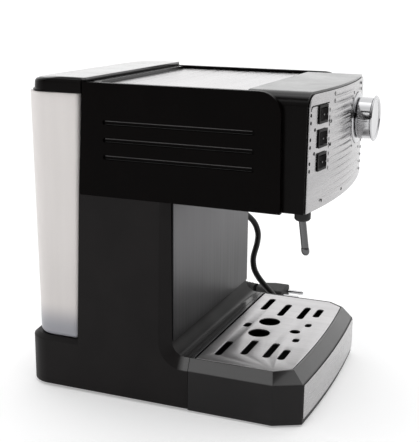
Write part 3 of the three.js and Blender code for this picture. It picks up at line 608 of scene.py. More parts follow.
def combined(mesh, other, operation):
    """The first mesh joined with or cut by the other."""
    first, second = linked("first", mesh), linked("second", other)
    boolean = first.modifiers.new("cut", "BOOLEAN")
    boolean.operation, boolean.object, boolean.solver = operation, second, "EXACT"
    result = baked_mesh(first)
    for piece in (first, second):
        bpy.data.objects.remove(piece)
    return result


def flattened(mesh, degrees, merge=0.0):
    """Makes flat faces whole, after merging doubled points where merge is set, in metres."""
    form = bmesh.new()
    form.from_mesh(mesh)
    if merge:
        bmesh.ops.remove_doubles(form, verts=form.verts, dist=merge)
    bmesh.ops.dissolve_limit(form, angle_limit=math.radians(degrees), verts=form.verts, edges=form.edges)
    form.to_mesh(mesh)
    form.free()


def merged_copy(node):
    """A copy of a CAD node's mesh with its triangles merged and its flat faces made whole."""
    mesh = frame["nodes"][node].data.copy()
    flattened(mesh, 0.6, merge=2e-6)
    for name in [layer.name for layer in mesh.uv_layers]:
        mesh.uv_layers.remove(mesh.uv_layers[name])
    return mesh


def bent_forward(mesh, corner_x, bulge, step=4):
    """Bends a flat plate to the head's bulged front, its middle furthest forward."""
    form = bmesh.new()
    form.from_mesh(mesh)
    x = -corner_x + step
    while x < corner_x:
        plane = dict(plane_co=(x * MM, 0, 0), plane_no=(1, 0, 0))
        bmesh.ops.bisect_plane(form, geom=[*form.verts, *form.edges, *form.faces], dist=1e-7, **plane)
        x += step
    for vertex in form.verts:
        vertex.co.y -= bulge * MM * (1 - (vertex.co.x / (corner_x * MM)) ** 2)
    form.to_mesh(mesh)
    form.free()
    return mesh


def finished(name, mesh, body, finish, replaces=(), edge=0.0, angle=28, segments=3):
    """A finished piece: edges rounded, shaded, given its finish, and riding on its body."""
    piece = linked(name, mesh)
    mesh.materials.clear()
    mesh.materials.append(FINISHES[finish])
    if edge:
        bevel = piece.modifiers.new("edge", "BEVEL")
        bevel.width, bevel.segments, bevel.limit_method = edge, segments, "ANGLE"
        bevel.angle_limit, bevel.use_clamp_overlap = math.radians(angle), True
        bevel.miter_outer = "MITER_ARC"
        applied(piece)
    piece.data.shade_smooth()
    piece.data.set_sharp_from_angle(angle=math.radians(40))
    if edge:
        piece.modifiers.new("shading", "WEIGHTED_NORMAL").keep_sharp = True
        applied(piece)
    return settled(piece, body, replaces)


def turned_piece(name, profile, origin, axis, steps, body, finish, replaces, edge):
    mesh = turned(name, profile, origin, axis, steps)
    return finished(name, mesh, body, finish, replaces, edge)


def settled(piece, body, replaces=()):
    """Sets a piece on its body, in place of the CAD nodes it stands for."""
    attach(piece, body)
    if replaces:
        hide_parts(*replaces)
    return piece


def softened(node, body, finish, edge, angle=28, segments=3):
    """A CAD piece with its edges rounded."""
    mesh = merged_copy(node)
    return finished(node + "_finished", mesh, body, finish, [node], edge, angle, segments)


# ------------------------------------------------------------------------------------------
# Geometry Nodes


class Tree(Graph):
    """A Geometry Nodes tree with named inputs."""

    def __init__(self, name):
        super().__init__(bpy.data.node_groups.new(name, "GeometryNodeTree"))
        self.tree.interface.new_socket("Geometry", in_out="OUTPUT", socket_type="NodeSocketGeometry")
        self.tree.interface.new_socket("Geometry", in_out="INPUT", socket_type="NodeSocketGeometry")
        self.entry = self.tree.nodes.new("NodeGroupInput")

    def geometry(self):
        return Link(self, self.entry.outputs["Geometry"])

    def inputs(self, kind, *names):
        """One named input of the same kind for each name."""
        for name in names:
            self.tree.interface.new_socket(name, in_out="INPUT", socket_type="NodeSocket" + kind)
        return [Link(self, self.entry.outputs[name]) for name in names]

    def vector(self, x, y, z):
        return self.add("ShaderNodeCombineXYZ", {}, {0: x, 1: y, 2: z})

    def row(self, count, start, step):
        """A row of points, each one step from the last."""
        values = {"Count": count, "Start Location": start, "Offset": step}
        return self.add("GeometryNodeMeshLine", {"mode": "OFFSET"}, values)

    def circle(self, radius, sides):
        values = {"Resolution": sides, "Radius": radius}
        return self.add("GeometryNodeCurvePrimitiveCircle", {"mode": "RADIUS"}, values)

    def scaled(self, shape, size):
        return self.add("GeometryNodeTransform", {}, {"Geometry": shape, "Scale": size})

    def placed(self, points, shape, **more):
        """The shape on every point."""
        return self.add("GeometryNodeInstanceOnPoints", {}, {"Points": points, "Instance": shape, **more})

    def facing(self, way):
        """The rotation that turns the Z axis to a direction."""
        return self.add("FunctionNodeAlignRotationToVector", {"axis": "Z"}, {"Vector": way})

    def end(self, shape):
        """Ends the tree in Realize Instances and Set Material."""
        material, = self.inputs("Material", "Finish")
        real = self.add("GeometryNodeRealizeInstances", {}, {0: shape})
        painted = self.add("GeometryNodeSetMaterial", {}, {"Geometry": real, "Material": material})
        self.add("NodeGroupOutput", {}, {0: painted})
        return self.tree


def rib_tree():
    """Horizontal ribs on the bulged panel, broken where the switches and the knob are."""
    t = Tree("Panel ribs")
    count, = t.inputs("Int", "Count")
    pitch, start, width, proud = t.inputs("Float", "Pitch", "Lowest rib", "Rib width", "Rib depth")
    reach, bulge, face = t.inputs("Float", "Reach", "Bulge", "Face")
    switch_edge, switch_foot = t.inputs("Float", "Switch edge", "Switch foot")
    band_edge, band_foot = t.inputs("Float", "Band edge", "Band foot")
    knob_x, knob_z, knob_clear = t.inputs("Float", "Knob X", "Knob Z", "Knob room")

    line = t.add("GeometryNodeMeshLine", {"mode": "END_POINTS"}, {
        "Count": 95, "Start Location": t.vector(0 - reach, 0, 0), "Offset": t.vector(reach, 0, 0)})
    stack = t.row(count, t.vector(0, 0, start), t.vector(0, 0, pitch))
    ribs = t.add("GeometryNodeRealizeInstances", {}, {0: t.placed(stack, line)})
    place = t.add("GeometryNodeInputPosition")
    x, z = (t.add("ShaderNodeSeparateXYZ", {}, {0: place}, axis) for axis in "XZ")
    share = x / reach
    shift = t.vector(0, face - bulge * (1 - share * share), 0)
    by_switches = (x < switch_edge) * (z > switch_foot)
    in_band = (x < band_edge) * (z > band_foot)
    across, up = x - knob_x, z - knob_z
    by_knob = across * across + up * up < knob_clear * knob_clear
    dropped = by_switches + in_band + by_knob > 0.5
    ribs = t.add("GeometryNodeDeleteGeometry", {"domain": "POINT"}, {"Geometry": ribs, "Selection": dropped})
    ribs = t.add("GeometryNodeSetPosition", {}, {"Geometry": ribs, "Offset": shift})
    ribs = t.add("GeometryNodeMeshToCurve", {}, {"Mesh": ribs})
    form = t.scaled(t.circle(0.5, 14), t.vector(proud * 2, width, 1))
    tubes = t.add("GeometryNodeCurveToMesh", {}, {"Curve": ribs, "Profile Curve": form, "Fill Caps": True})
    return t.end(t.add("GeometryNodeSetShadeSmooth", {}, {"Geometry": tubes}))


def stud_tree():
    """A low round stud on every point, facing along an axis: dimples, holes, marks and screw heads."""
    t = Tree("Round studs")
    radius, proud = t.inputs("Float", "Radius", "Proud")
    way, = t.inputs("Vector", "Facing")
    dome = t.add("GeometryNodeMeshUVSphere", {}, {"Segments": 16, "Rings": 8, "Radius": 1})
    dome = t.scaled(dome, t.vector(radius, radius, proud))
    studs = t.placed(t.geometry(), dome, Rotation=t.facing(way))
    return t.end(t.add("GeometryNodeSetShadeSmooth", {}, {"Geometry": studs}))


def slat_tree():
    """Slats side by side on a flat underside: the ventilation grille."""
    t = Tree("Vent slats")
    count, = t.inputs("Int", "Count")
    pitch, length, width, proud = t.inputs("Float", "Pitch", "Length", "Width", "Proud")
    start, = t.inputs("Vector", "Start")
    bar = t.add("GeometryNodeMeshCube", {}, {"Size": t.vector(width, length, proud)})
    return t.end(t.placed(t.row(count, start, t.vector(pitch, 0, 0)), bar))


def ring_tree():
    """Rings along a line that shrink towards its end: the ribs of a strain relief."""
    t = Tree("Relief rings")
    count, = t.inputs("Int", "Count")
    pitch, radius, shrink, thick = t.inputs("Float", "Pitch", "Radius", "Shrink", "Thickness")
    start, along = t.inputs("Vector", "Start", "Along")
    step = t.add("ShaderNodeVectorMath", {"operation": "SCALE"}, {0: along, "Scale": pitch})
    hoop, form = t.circle(radius, 40), t.circle(thick, 10)
    ring = t.add("GeometryNodeCurveToMesh", {}, {"Curve": hoop, "Profile Curve": form})
    size = 1 - t.add("GeometryNodeInputIndex") * shrink
    rings = t.placed(t.row(count, start, step), ring, Rotation=t.facing(along), Scale=size)
    return t.end(t.add("GeometryNodeSetShadeSmooth", {}, {"Geometry": rings}))


def repeated(name, tree, points, body, finish, values):
    """Runs a tree on an object that holds only points, and keeps the result as a plain mesh."""
    mesh = bpy.data.meshes.new(name)
    mesh.from_pydata([Vector(p) * MM for p in points], [], [])
    piece = linked(name, mesh)
    run = piece.modifiers.new(name, "NODES")
    run.node_group = tree
    values = dict(values, Finish=FINISHES[finish])
    for item in tree.interface.items_tree:
        if item.in_out == "INPUT" and item.name in values:
            run[item.identifier] = values[item.name]
    applied(piece)
    if not piece.data.polygons:
        raise RuntimeError(name + " came out empty")
    return settled(piece, body)


# ------------------------------------------------------------------------------------------
# Mains lead


def smoothed(points, per_span):
    """A Catmull-Rom path through points."""
    points = [Vector(p) for p in points]
    ends = [2 * points[0] - points[1], *points, 2 * points[-1] - points[-2]]
    path = []
    for i in range(1, len(ends) - 2):
        a, b, c, d = ends[i - 1:i + 3]
        for k in range(per_span):
            t = k / per_span
            path.append(0.5 * (2 * b + (c - a) * t + (2 * a - 5 * b + 4 * c - d) * t ** 2
                               + (3 * b - a - 3 * c + d) * t ** 3))
    return [*path, points[-1]]


def coil_route(step=12):
    """The lead's turns, clockwise: two side by side, then two on top."""
    route = []
    for (a, r0, z0), (b, r1, z1) in zip(COIL_STAGES, COIL_STAGES[1:]):
        for angle in range(a, b, step):
            t = (angle - a) / (b - a)
            t = t * t * (3 - 2 * t)
            turn = math.radians(COIL_START - angle)
            radius = r0 + (r1 - r0) * t
            route.append((COIL_CENTRE[0] + radius * math.cos(turn), COIL_CENTRE[1] + radius * math.sin(turn),
                          z0 + (z1 - z0) * t))
    return route


def path_length(path):
    return sum((Vector(b) - Vector(a)).length for a, b in zip(path, path[1:]))


class ESPRESSO_OT_mains_lead(bpy.types.Operator):
    """Lays the mains lead with its gland, strain relief and plug"""

    bl_idname = "espresso.mains_lead"
    bl_label = "Mains lead"

    def execute(self, context):
        sizes = context.scene.espresso_sizes
        lead, tail = smoothed(LEAD_ROUTE, 2), smoothed(TAIL_ROUTE, 3)
        route = [*lead[:-1], *coil_route(), *tail[::-1]]
        curve = bpy.data.curves.new("mains_lead", "CURVE")
        curve.dimensions, curve.resolution_u = "3D", 3
        curve.bevel_depth, curve.bevel_resolution, curve.use_fill_caps = sizes.cord_diameter / 2, 5, True
        spline = curve.splines.new("BEZIER")
        spline.bezier_points.add(len(route) - 1)
        for point, place in zip(spline.bezier_points, route):
            point.co = Vector(place) * MM
            point.handle_left_type = point.handle_right_type = "AUTO"
        curve.materials.append(FINISHES["jacket"])
        cord = linked("mains_lead", curve)
        settled(cord, "machine_body", ["cord_lead", "cord_coil", "cord_tail"])

        gland = self.gland(sizes.turning_steps)
        plug, pins = self.plug()
        relief = self.relief()
        Vector(LEAD_ROUTE[0]) * MM
        round(path_length(route) * MM, 2)
        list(pins)
        return {"FINISHED"}

    def gland(self, steps):
        low, high = box_mm("cord_gland")
        tip = high.x - low.x
        profile = [(0, 0), (5, 0), (5, 4.3), (8, 4.3), (8, 7), (6, 7.6), (4.4, tip), (0, tip)]
        boot = turned_piece("lead_gland", profile, (low.x, GLAND_Y, GLAND_Z), (1, 0, 0), steps // 2,
                            "machine_body", "rubber", ["cord_gland"], 0.4 * MM)
        rings = repeated("lead_gland_ribs", ring_tree(), [(0, 0, 0)], "machine_body", "rubber", {
            "Count": 6, "Pitch": 3.6 * MM, "Radius": 5.35 * MM, "Shrink": 0.03, "Thickness": 0.7 * MM,
            "Start": Vector((low.x + 10.5, GLAND_Y, GLAND_Z)) * MM, "Along": (1, 0, 0)})
        return boot, rings

    def relief(self):
        end = Vector(TAIL_ROUTE[0])
        start = Vector((PLUG_X + 3, box_mm("plug_body")[1].y + 0.3, PLUG_Z))
        along = (end - start).normalized()
        length = (end - start).length
        near, far = 0.1 * length, 0.975 * length
        profile = [(0, near), (6, near), (5.4, 0.3 * length), (4.1, far), (0, far)]
        boot = turned_piece("plug_boot", profile, start, along, 32, "machine_body", "rubber",
                            ["plug_relief"], 0.4 * MM)
        rings = repeated("plug_boot_ribs", ring_tree(), [(0, 0, 0)], "machine_body", "rubber", {
            "Count": 5, "Pitch": 4.6 * MM, "Radius": 5.0 * MM, "Shrink": 0.045, "Thickness": 0.7 * MM,
            "Start": (start + along * 0.34 * length) * MM, "Along": along})
        return boot, rings

    def plug(self):
        plug = softened("plug_body", "machine_body", "rubber", 1.6 * MM, 20, 4)
        pins = []
        for node in ("plug_pin_left", "plug_pin_right"):
            low, high = box_mm(node)
            middle = (low + high) / 2
            length = high.y - low.y
            radius = (high.x - low.x) / 2
            profile = [(0, 0), (radius * 0.55, 0), (radius, 1.4), (radius, length), (0, length)]
            pins.append(turned_piece(node + "_bright", profile, (middle.x, low.y, middle.z), (0, 1, 0), 32,
                                     "machine_body", "chrome", [node], 0.3 * MM))
        return plug, pins


# ------------------------------------------------------------------------------------------
# Base, column and feet


def column_outline(radius, front):
    """The column's side outline as (y, z), for one radius of the curve at its foot."""
    return [
        (SEAM_Y, BASE_BOTTOM), (SEAM_Y, FOOT_Z - radius), *arc(FOOT_Y, FOOT_Z, radius, -90, 0, 24),
        (front, COLUMN_TOP), (COLUMN_REAR_HIGH, COLUMN_TOP), (COLUMN_REAR_LOW, BASE_TOP),
        (COLUMN_REAR_LOW, BASE_BOTTOM),
    ]


def base_plan(inset, front=60):
    radius = BASE_REAR_RADIUS - inset
    side, rear = SIDE - inset, BASE_REAR - inset
    return [
        (-side, front), (side, front), *arc(side - radius, rear - radius, radius, 0, 90, 16),
        *arc(-side + radius, rear - radius, radius, 90, 180, 16),
    ]


class ESPRESSO_OT_base(bpy.types.Operator):
    """Makes the base with its column, splash plate, underside and feet"""

    bl_idname = "espresso.base"
    bl_label = "Base and column"

    def execute(self, context):
        sizes = context.scene.espresso_sizes
        outer = column_outline(FOOT_OUTER_RADIUS, FOOT_Y + FOOT_OUTER_RADIUS - 1.5)
        inner = column_outline(FOOT_INNER_RADIUS, FOOT_Y + FOOT_INNER_RADIUS + 1)
        places = ((-SIDE, outer), (-SIDE_INNER, inner), (SIDE_INNER, inner), (SIDE, outer))
        column = lofted("column", [[(x, y, z) for y, z in outline] for x, outline in places])
        levels = ((BASE_BOTTOM, 0), (BASE_RIM_Z, 0), (BASE_TOP, 4))
        base = lofted("base", [at(base_plan(inset), z) for z, inset in levels])
        shell = combined(column, base, "UNION")
        for cutter in self.cutters():
            shell = combined(shell, cutter, "DIFFERENCE")
        flattened(shell, 0.5)
        finished("base_and_column", shell, "machine_body", "base_black", ["body_shell"],
                 sizes.moulded_edge, 24)
        softened("splash_plate", "machine_body", "splash", sizes.sheet_edge)
        softened("bottom_plate", "machine_body", "soft_black", 0.4 * MM)
        self.feet(sizes)
        self.vents()
        return {"FINISHED"}

    def cutters(self):
        """The recess for the bottom plate and the well for the tank's seat."""
        recess_top = BASE_BOTTOM + 2.7
        yield lofted("recess", [at(base_plan(3, 2), z) for z in (BASE_BOTTOM - 1, recess_top)])
        fronts = ((SIDE - 3, SEAM_Y + 3, 4, recess_top), (88.3, SEAM_Y - 1, SEAM_Y + 4, 5.8))
        for x, front, rear, top in fronts:
            outline = [(-x, front), (x, front), (x, rear), (-x, rear)]
            yield lofted("notch", [at(outline, z) for z in (BASE_BOTTOM - 1, top)])
        yield turned("well", [(0, 30), (11.3, 30), (11.3, BASE_TOP + 1), (0, BASE_TOP + 1)], (*TANK_PORT, 0))

    def feet(self, sizes):
        for node in [f"foot_{end}_{side}" for end in ("front", "rear") for side in ("left", "right")]:
            low, high = box_mm(node)
            middle = (low + high) / 2
            profile = [(0, 0.5), (5, 0.5), (5.6, 0), (8, 0), (9, 1), (9, high.z), (0, high.z)]
            turned_piece(node + "_pad", profile, (middle.x, middle.y, 0), (0, 0, 1), sizes.turning_steps,
                         "machine_body", "rubber", [node], 0.2 * MM)

    def vents(self):
        low = box_mm("bottom_plate")[0]
        # Painted shade: dark slats where the vent openings are.
        repeated("underside_vents", slat_tree(), [(0, 0, 0)], "machine_body", "hollow", {
            "Count": 11, "Pitch": 6 * MM, "Length": 34 * MM, "Width": 2.6 * MM, "Proud": 0.3 * MM,
            "Start": Vector((-30, 50, low.z)) * MM})
        corners = [(x, y, low.z) for x in (-84, 84) for y in (0, 100)]
        repeated("underside_screws", stud_tree(), corners, "machine_body", "aluminium", {
            "Radius": 3.2 * MM, "Proud": 0.9 * MM, "Facing": (0, 0, -1)})


# ------------------------------------------------------------------------------------------
# Drip tray


def tray_plan(side_inset, front_inset, rear, steps=24):
    side = SIDE - side_inset
    corner_x = TRAY_CORNER_X - side_inset * 0.75
    front = TRAY_LOW.y + TRAY_BULGE + front_inset
    corner_y = TRAY_CORNER_Y + front_inset * 0.2
    places = [-corner_x + 2 * corner_x * i / steps for i in range(steps + 1)]
    bulge = [(x, front - TRAY_BULGE * (1 - (x / corner_x) ** 2)) for x in places]
    return [(side, rear), (-side, rear), (-side, corner_y), *bulge, (side, corner_y)]


class ESPRESSO_OT_drip_tray(bpy.types.Operator):
    """Makes the drip tray, its front plate and the grid"""

    bl_idname = "espresso.drip_tray"
    bl_label = "Drip tray"

    def execute(self, context):
        sizes = context.scene.espresso_sizes
        softened("drip_tray", "drip_tray", "tray_black", 0.7 * MM, 22)
        softened("tray_front_plate", "drip_tray", "panel", 0.25 * MM, 40)
        low, high = box_mm("drip_grid")
        holes = []
        for side in (-1, 1):
            holes += [slot(side * x, y, length, 6.5) for x, y, length in GRID_SLOTS]
            holes += [slot(side * 20.5, -92.3, 9, 6), circle(side * 15.8, -55.7, 10)]
        holes += [slot(0, -39, 11, 6.4), circle(0, -85.4, 4.8)]
        outline = tray_plan(6.9, 11.4, high.y - GRID_HIDDEN_EDGE)
        mesh = flat_plate("grid", outline, holes, low.z, high.z, sizes.sheet_edge)
        finished("grid_plate", mesh, "drip_grid", "steel_y", ["drip_grid"])
        return {"FINISHED"}


# ------------------------------------------------------------------------------------------
# Head


def panel_at(x):
    """The front panel's face at x."""
    return PANEL_FACE - FRONT_BULGE * (1 - (x / HEAD_SIDE) ** 2)


class ESPRESSO_OT_head(bpy.types.Operator):
    """Makes the head's shell, its side panels and the cup plate"""

    bl_idname = "espresso.head"
    bl_label = "Head"

    def execute(self, context):
        sizes = context.scene.espresso_sizes
        softened("head_housing", "machine_body", "head_black", sizes.moulded_edge, 24)
        for node in ("cheek_left", "cheek_right"):
            softened(node, "machine_body", "deep_black", 0.6 * MM, 24)
        softened("cup_plate", "machine_body", "steel_x", 0.4 * MM)
        # Painted highlight strips along both edges of each groove.
        for side, name in ((-1, "left"), (1, "right")):
            for i, z in enumerate(GROOVE_Z):
                self.lips(f"groove_{name}_{i + 1}", side, z)
        return {"FINISHED"}

    def lips(self, name, side, z):
        """Two fine strips along a groove in a side panel, in painted highlight colours: a wide brighter one
        above and a narrow dimmer one below.
        """
        for part, rise, half, finish in (("upper", 1.25, 0.42, "lip"), ("lower", -1.5, 0.25, "dim_lip")):
            outline = rounded(-half, -half, half, half, half * 0.9, 4)
            x = side * (SIDE - 1.2)
            sections = [[(x + a, y, z + rise + b) for a, b in outline] for y in GROOVE_ENDS]
            finished(f"{name}_{part}_lip", lofted(name, sections), "machine_body", finish)


class ESPRESSO_OT_front_panel(bpy.types.Operator):
    """Makes the pressed steel front panel with its ribs and dimples"""

    bl_idname = "espresso.front_panel"
    bl_label = "Front panel"

    def execute(self, context):
        sizes = context.scene.espresso_sizes
        half, reach = 6.8, 8.6
        radius = HEAD_FILLET - 0.6
        side, corner = PANEL_SIDE, PANEL_TOP - radius
        outline = [
            (-side, PANEL_FOOT), (side, PANEL_FOOT), *arc(side - radius, corner, radius, 0, 90, 12),
            *arc(-side + radius, corner, radius, 90, 180, 12),
        ]
        holes = [[(SWITCH_X - reach, z - half), (SWITCH_X + reach, z - half), (SWITCH_X + reach, z + half),
                  (SWITCH_X - reach, z + half)] for z in SWITCH_Z]
        holes.append(circle(KNOB_X, KNOB_Z, 23))
        mesh = flat_plate("panel", outline, holes, 0, PANEL_THICK, sizes.sheet_edge)
        shift = Matrix.Translation((0, (PANEL_FACE + PANEL_THICK) * MM, 0))
        mesh.transform(shift @ Matrix.Rotation(math.pi / 2, 4, "X"))
        bent_forward(mesh, HEAD_SIDE, FRONT_BULGE)
        finished("front_plate", mesh, "machine_body", "panel", ["front_panel"])

        repeated("front_ribs", rib_tree(), [(0, 0, 0)], "machine_body", "panel", {
            "Count": 15, "Pitch": sizes.rib_pitch, "Lowest rib": (PANEL_LOW.z + 4) * MM,
            "Rib width": sizes.rib_width, "Rib depth": sizes.rib_proud, "Reach": (side - 4) * MM,
            "Bulge": FRONT_BULGE * MM, "Face": (PANEL_FACE + 0.1) * MM,
            "Switch edge": (SWITCH_X + 14) * MM, "Switch foot": 212 * MM,
            "Band edge": -42 * MM, "Band foot": 263 * MM,
            "Knob X": KNOB_X * MM, "Knob Z": KNOB_Z * MM, "Knob room": (DIMPLE_RING + 2.1) * MM})
        # Painted shade: dark domes in the panel's dimples.
        repeated("front_dimples", stud_tree(), self.dimples(), "machine_body", "hollow", {
            "Radius": sizes.dimple_radius, "Proud": 0.3 * MM, "Facing": (0, -1, 0)})
        self.crease(268.3)
        return {"FINISHED"}

    def dimples(self):
        """Beside each switch, between the switches, and round both sides of the knob."""
        spots = [(-90, z + rise) for z in SWITCH_Z for rise in (-5, 1)]
        for above, below in zip(SWITCH_Z, SWITCH_Z[1:]):
            spots += [(-82, (above + below) / 2 - 1.5)]
        for angle in range(130, 231, 12):
            turn = math.radians(angle)
            spots.append((KNOB_X + DIMPLE_RING * math.cos(turn), KNOB_Z + DIMPLE_RING * math.sin(turn)))
        on_ribs = [(-50.5, (above + below) / 2 + 2) for above, below in zip(SWITCH_Z, SWITCH_Z[1:])]
        on_ribs += [(79 - i, 218.9 - 6.7 * i) for i in range(5)]
        on_ribs += [(57 + 1.5 * i, 274 - 5.4 * i) for i in range(3)]
        on_ribs += [(x, PANEL_LOW.z + 3) for x in (-66, -15)]
        lifted = ((0.05, spots), (0.8, on_ribs))
        return [(x, panel_at(x) - lift, z) for lift, group in lifted for x, z in group]

    def crease(self, z):
        """The fine dark line under the smooth band at the panel's top: painted shade in the crease."""
        width, depth = 0.45, 0.35
        places = [(-90.5, -3.4), (-90.3, -2.2), (-89.6, -1), (-88.4, -0.3), (-87, 0)]
        places += [(x, 0) for x in range(-83, -54, 4)]
        sections = [[(x, panel_at(x) - depth * a, z + drop + width * b)
                     for a, b in ((1, -1), (1, 1), (-1, 1), (-1, -1))] for x, drop in places]
        finished("front_crease", lofted("crease", sections), "machine_body", "hollow")


# ------------------------------------------------------------------------------------------
# Controls


class ESPRESSO_OT_switches(bpy.types.Operator):
    """Makes the three rocker switches"""

    bl_idname = "espresso.switches"
    bl_label = "Switches"

    def execute(self, context):
        studs = stud_tree()
        for i in (1, 2, 3):
            softened(f"switch_case_{i}", "machine_body", "soft_black", 0.45 * MM, 35)
            rocker = f"rocker_{i}"
            softened(rocker, rocker, "deep_black", 0.5 * MM, 15)
            low, high = box_mm(rocker)
            middle = (low + high) / 2
            marks = [(middle.x - 2.4, low.y + 1.75, middle.z), (middle.x + 3.2, low.y + 0.35, middle.z)]
            repeated(rocker + "_marks", studs, marks, rocker, "mark", {
                "Radius": 0.7 * MM, "Proud": 0.16 * MM, "Facing": (-0.25, -1, 0)})
        return {"FINISHED"}


class ESPRESSO_OT_steam_knob(bpy.types.Operator):
    """Makes the chromed steam knob and the ring behind it"""

    bl_idname = "espresso.steam_knob"
    bl_label = "Steam knob"

    def execute(self, context):
        steps = context.scene.espresso_sizes.turning_steps
        front, rear = KNOB_LOW.y, KNOB_HIGH.y
        radius = KNOB_HIGH.x - KNOB_X
        ring = FLANGE_HIGH.x - KNOB_X
        cap = CAP_HIGH.x - KNOB_X
        origin = (KNOB_X, 0, KNOB_Z)

        def made(name, profile, body, replaced, edge):
            mesh = turned(name, profile, origin, (0, 1, 0), steps)
            finished(name, mesh, body, "chrome", replaced, edge * MM, 20, 4)

        made("knob_ring", [(6, FLANGE_LOW.y), (ring - 3.2, FLANGE_LOW.y), (ring - 0.6, FLANGE_LOW.y + 0.5),
                           (ring, FLANGE_LOW.y + 1.2), (ring, FLANGE_HIGH.y), (6, FLANGE_HIGH.y)],
             "machine_body", ["knob_flange"], 0.25)
        made("knob_barrel", [(0, front), (radius - 1, front), (radius - 1, front + 0.4),
                             (radius - 0.35, front + 0.8), (radius, rear - 1), (radius - 0.6, rear),
                             (radius - 2, rear), (radius - 2, rear - 5), (4, rear - 5), (4, rear),
                             (3.8, rear), (3.8, rear - 4.2), (0, rear - 4.2)],
             "steam_knob", ["steam_knob"], 0.2)
        made("knob_face", [(0, CAP_LOW.y + 1.2), (cap - 4, CAP_LOW.y + 1.0), (cap - 3, CAP_LOW.y + 0.1),
                           (cap - 1.2, CAP_LOW.y), (cap, CAP_LOW.y + 0.9), (cap - 0.1, CAP_HIGH.y - 0.3),
                           (cap - 0.7, CAP_HIGH.y), (0, CAP_HIGH.y)],
             "steam_knob", ["knob_cap"], 0.25)
        return {"FINISHED"}


class ESPRESSO_OT_steam_wand(bpy.types.Operator):
    """Makes the steam wand, its tip and its nut"""

    bl_idname = "espresso.steam_wand"
    bl_label = "Steam wand"

    def execute(self, context):
        nut_low, nut_high = box_mm("wand_nut")
        middle = (nut_low + nut_high) / 2
        collar = nut_high.x - middle.x
        wand_low, wand_high = box_mm("steam_wand")
        tip_low, tip_high = box_mm("wand_tip")
        radius = (wand_high.x - wand_low.x) / 2
        profile = [(3.4, nut_low.z), (collar - 1.4, nut_low.z), (collar, nut_low.z + 1.6),
                   (collar, nut_high.z), (3.4, nut_high.z)]
        turned_piece("wand_collar", profile, (middle.x, middle.y, 0), (0, 0, 1), 48,
                     "machine_body", "rubber", ["wand_nut"], 0.4 * MM)

        lean = 3 / (nut_low.z - wand_low.z)

        def leaning(name, profile, finish, replaced):
            mesh = turned(name, profile, (middle.x, middle.y, 0), (0, 0, 1), 40)
            for vertex in mesh.vertices:
                vertex.co.y -= lean * max(nut_low.z * MM - vertex.co.z, 0)
            finished(name, mesh, "steam_wand", finish, replaced, 0.15 * MM)

        # The wand's pieces take the steel darkened into a painted dark reflection.
        leaning("wand_tube", [(0, wand_low.z + 0.2), (radius, wand_low.z + 0.2), (radius, nut_low.z),
                              (2.6, 178), (2.6, 188), (0, 188)], "tube", ["steam_wand"])
        leaning("wand_nozzle", [(0, tip_low.z), (1.7, tip_low.z), (2.9, tip_low.z + 1.4),
                                (3.3, tip_low.z + 3), (3.3, tip_high.z - 0.8), (3.05, tip_high.z),
                                (0, tip_high.z)], "tube", ["wand_tip"])
        return {"FINISHED"}


class ESPRESSO_OT_group(bpy.types.Operator):
    """Makes the bayonet ring and the shower screen with its holes"""

    bl_idname = "espresso.group"
    bl_label = "Group head"

    def execute(self, context):
        steps = context.scene.espresso_sizes.turning_steps
        low, high = box_mm("bayonet_ring")
        radius = high.x - GROUP[0]
        profile = [(GROUP_BORE, low.z), (radius, low.z), (radius, high.z), (GROUP_BORE + 2.5, high.z),
                   (GROUP_BORE + 2.5, low.z + 8), (GROUP_BORE, low.z + 5)]
        turned_piece("group_collar", profile, (*GROUP, 0), (0, 0, 1), steps,
                     "machine_body", "soft_black", ["bayonet_ring"], 0.6 * MM)
        low, high = box_mm("shower_screen")
        profile = [(0, low.z), (24.6, low.z), (25.8, low.z + 0.5), (25.8, high.z), (0, high.z)]
        turned_piece("shower_plate", profile, (*GROUP, 0), (0, 0, 1), steps,
                     "machine_body", "steel_x", ["shower_screen"], 0.2 * MM)
        holes = []
        for ring in range(1, 7):
            for k in range(ring * 6):
                turn = 2 * math.pi * k / (ring * 6)
                reach = 3.7 * ring
                holes.append((GROUP[0] + reach * math.cos(turn), GROUP[1] + reach * math.sin(turn), low.z))
        # Painted shade: dark discs where the shower screen's holes are.
        repeated("shower_holes", stud_tree(), holes, "machine_body", "hollow", {
            "Radius": 0.6 * MM, "Proud": 0.08 * MM, "Facing": (0, 0, -1)})
        return {"FINISHED"}


# ------------------------------------------------------------------------------------------
# Water tank


def tank_plan(inset, front, rear, side, steps=14):
    radius = 20 - inset
    return [
        *arc(-side + inset + 4, front + inset + 4, 4, 180, 270, 5),
        *arc(side - inset - 4, front + inset + 4, 4, 270, 360, 5),
        *arc(side - inset - radius, rear - inset - radius, radius, 0, 90, steps),
        *arc(-side + inset + radius, rear - inset - radius, radius, 90, 180, steps),
    ]


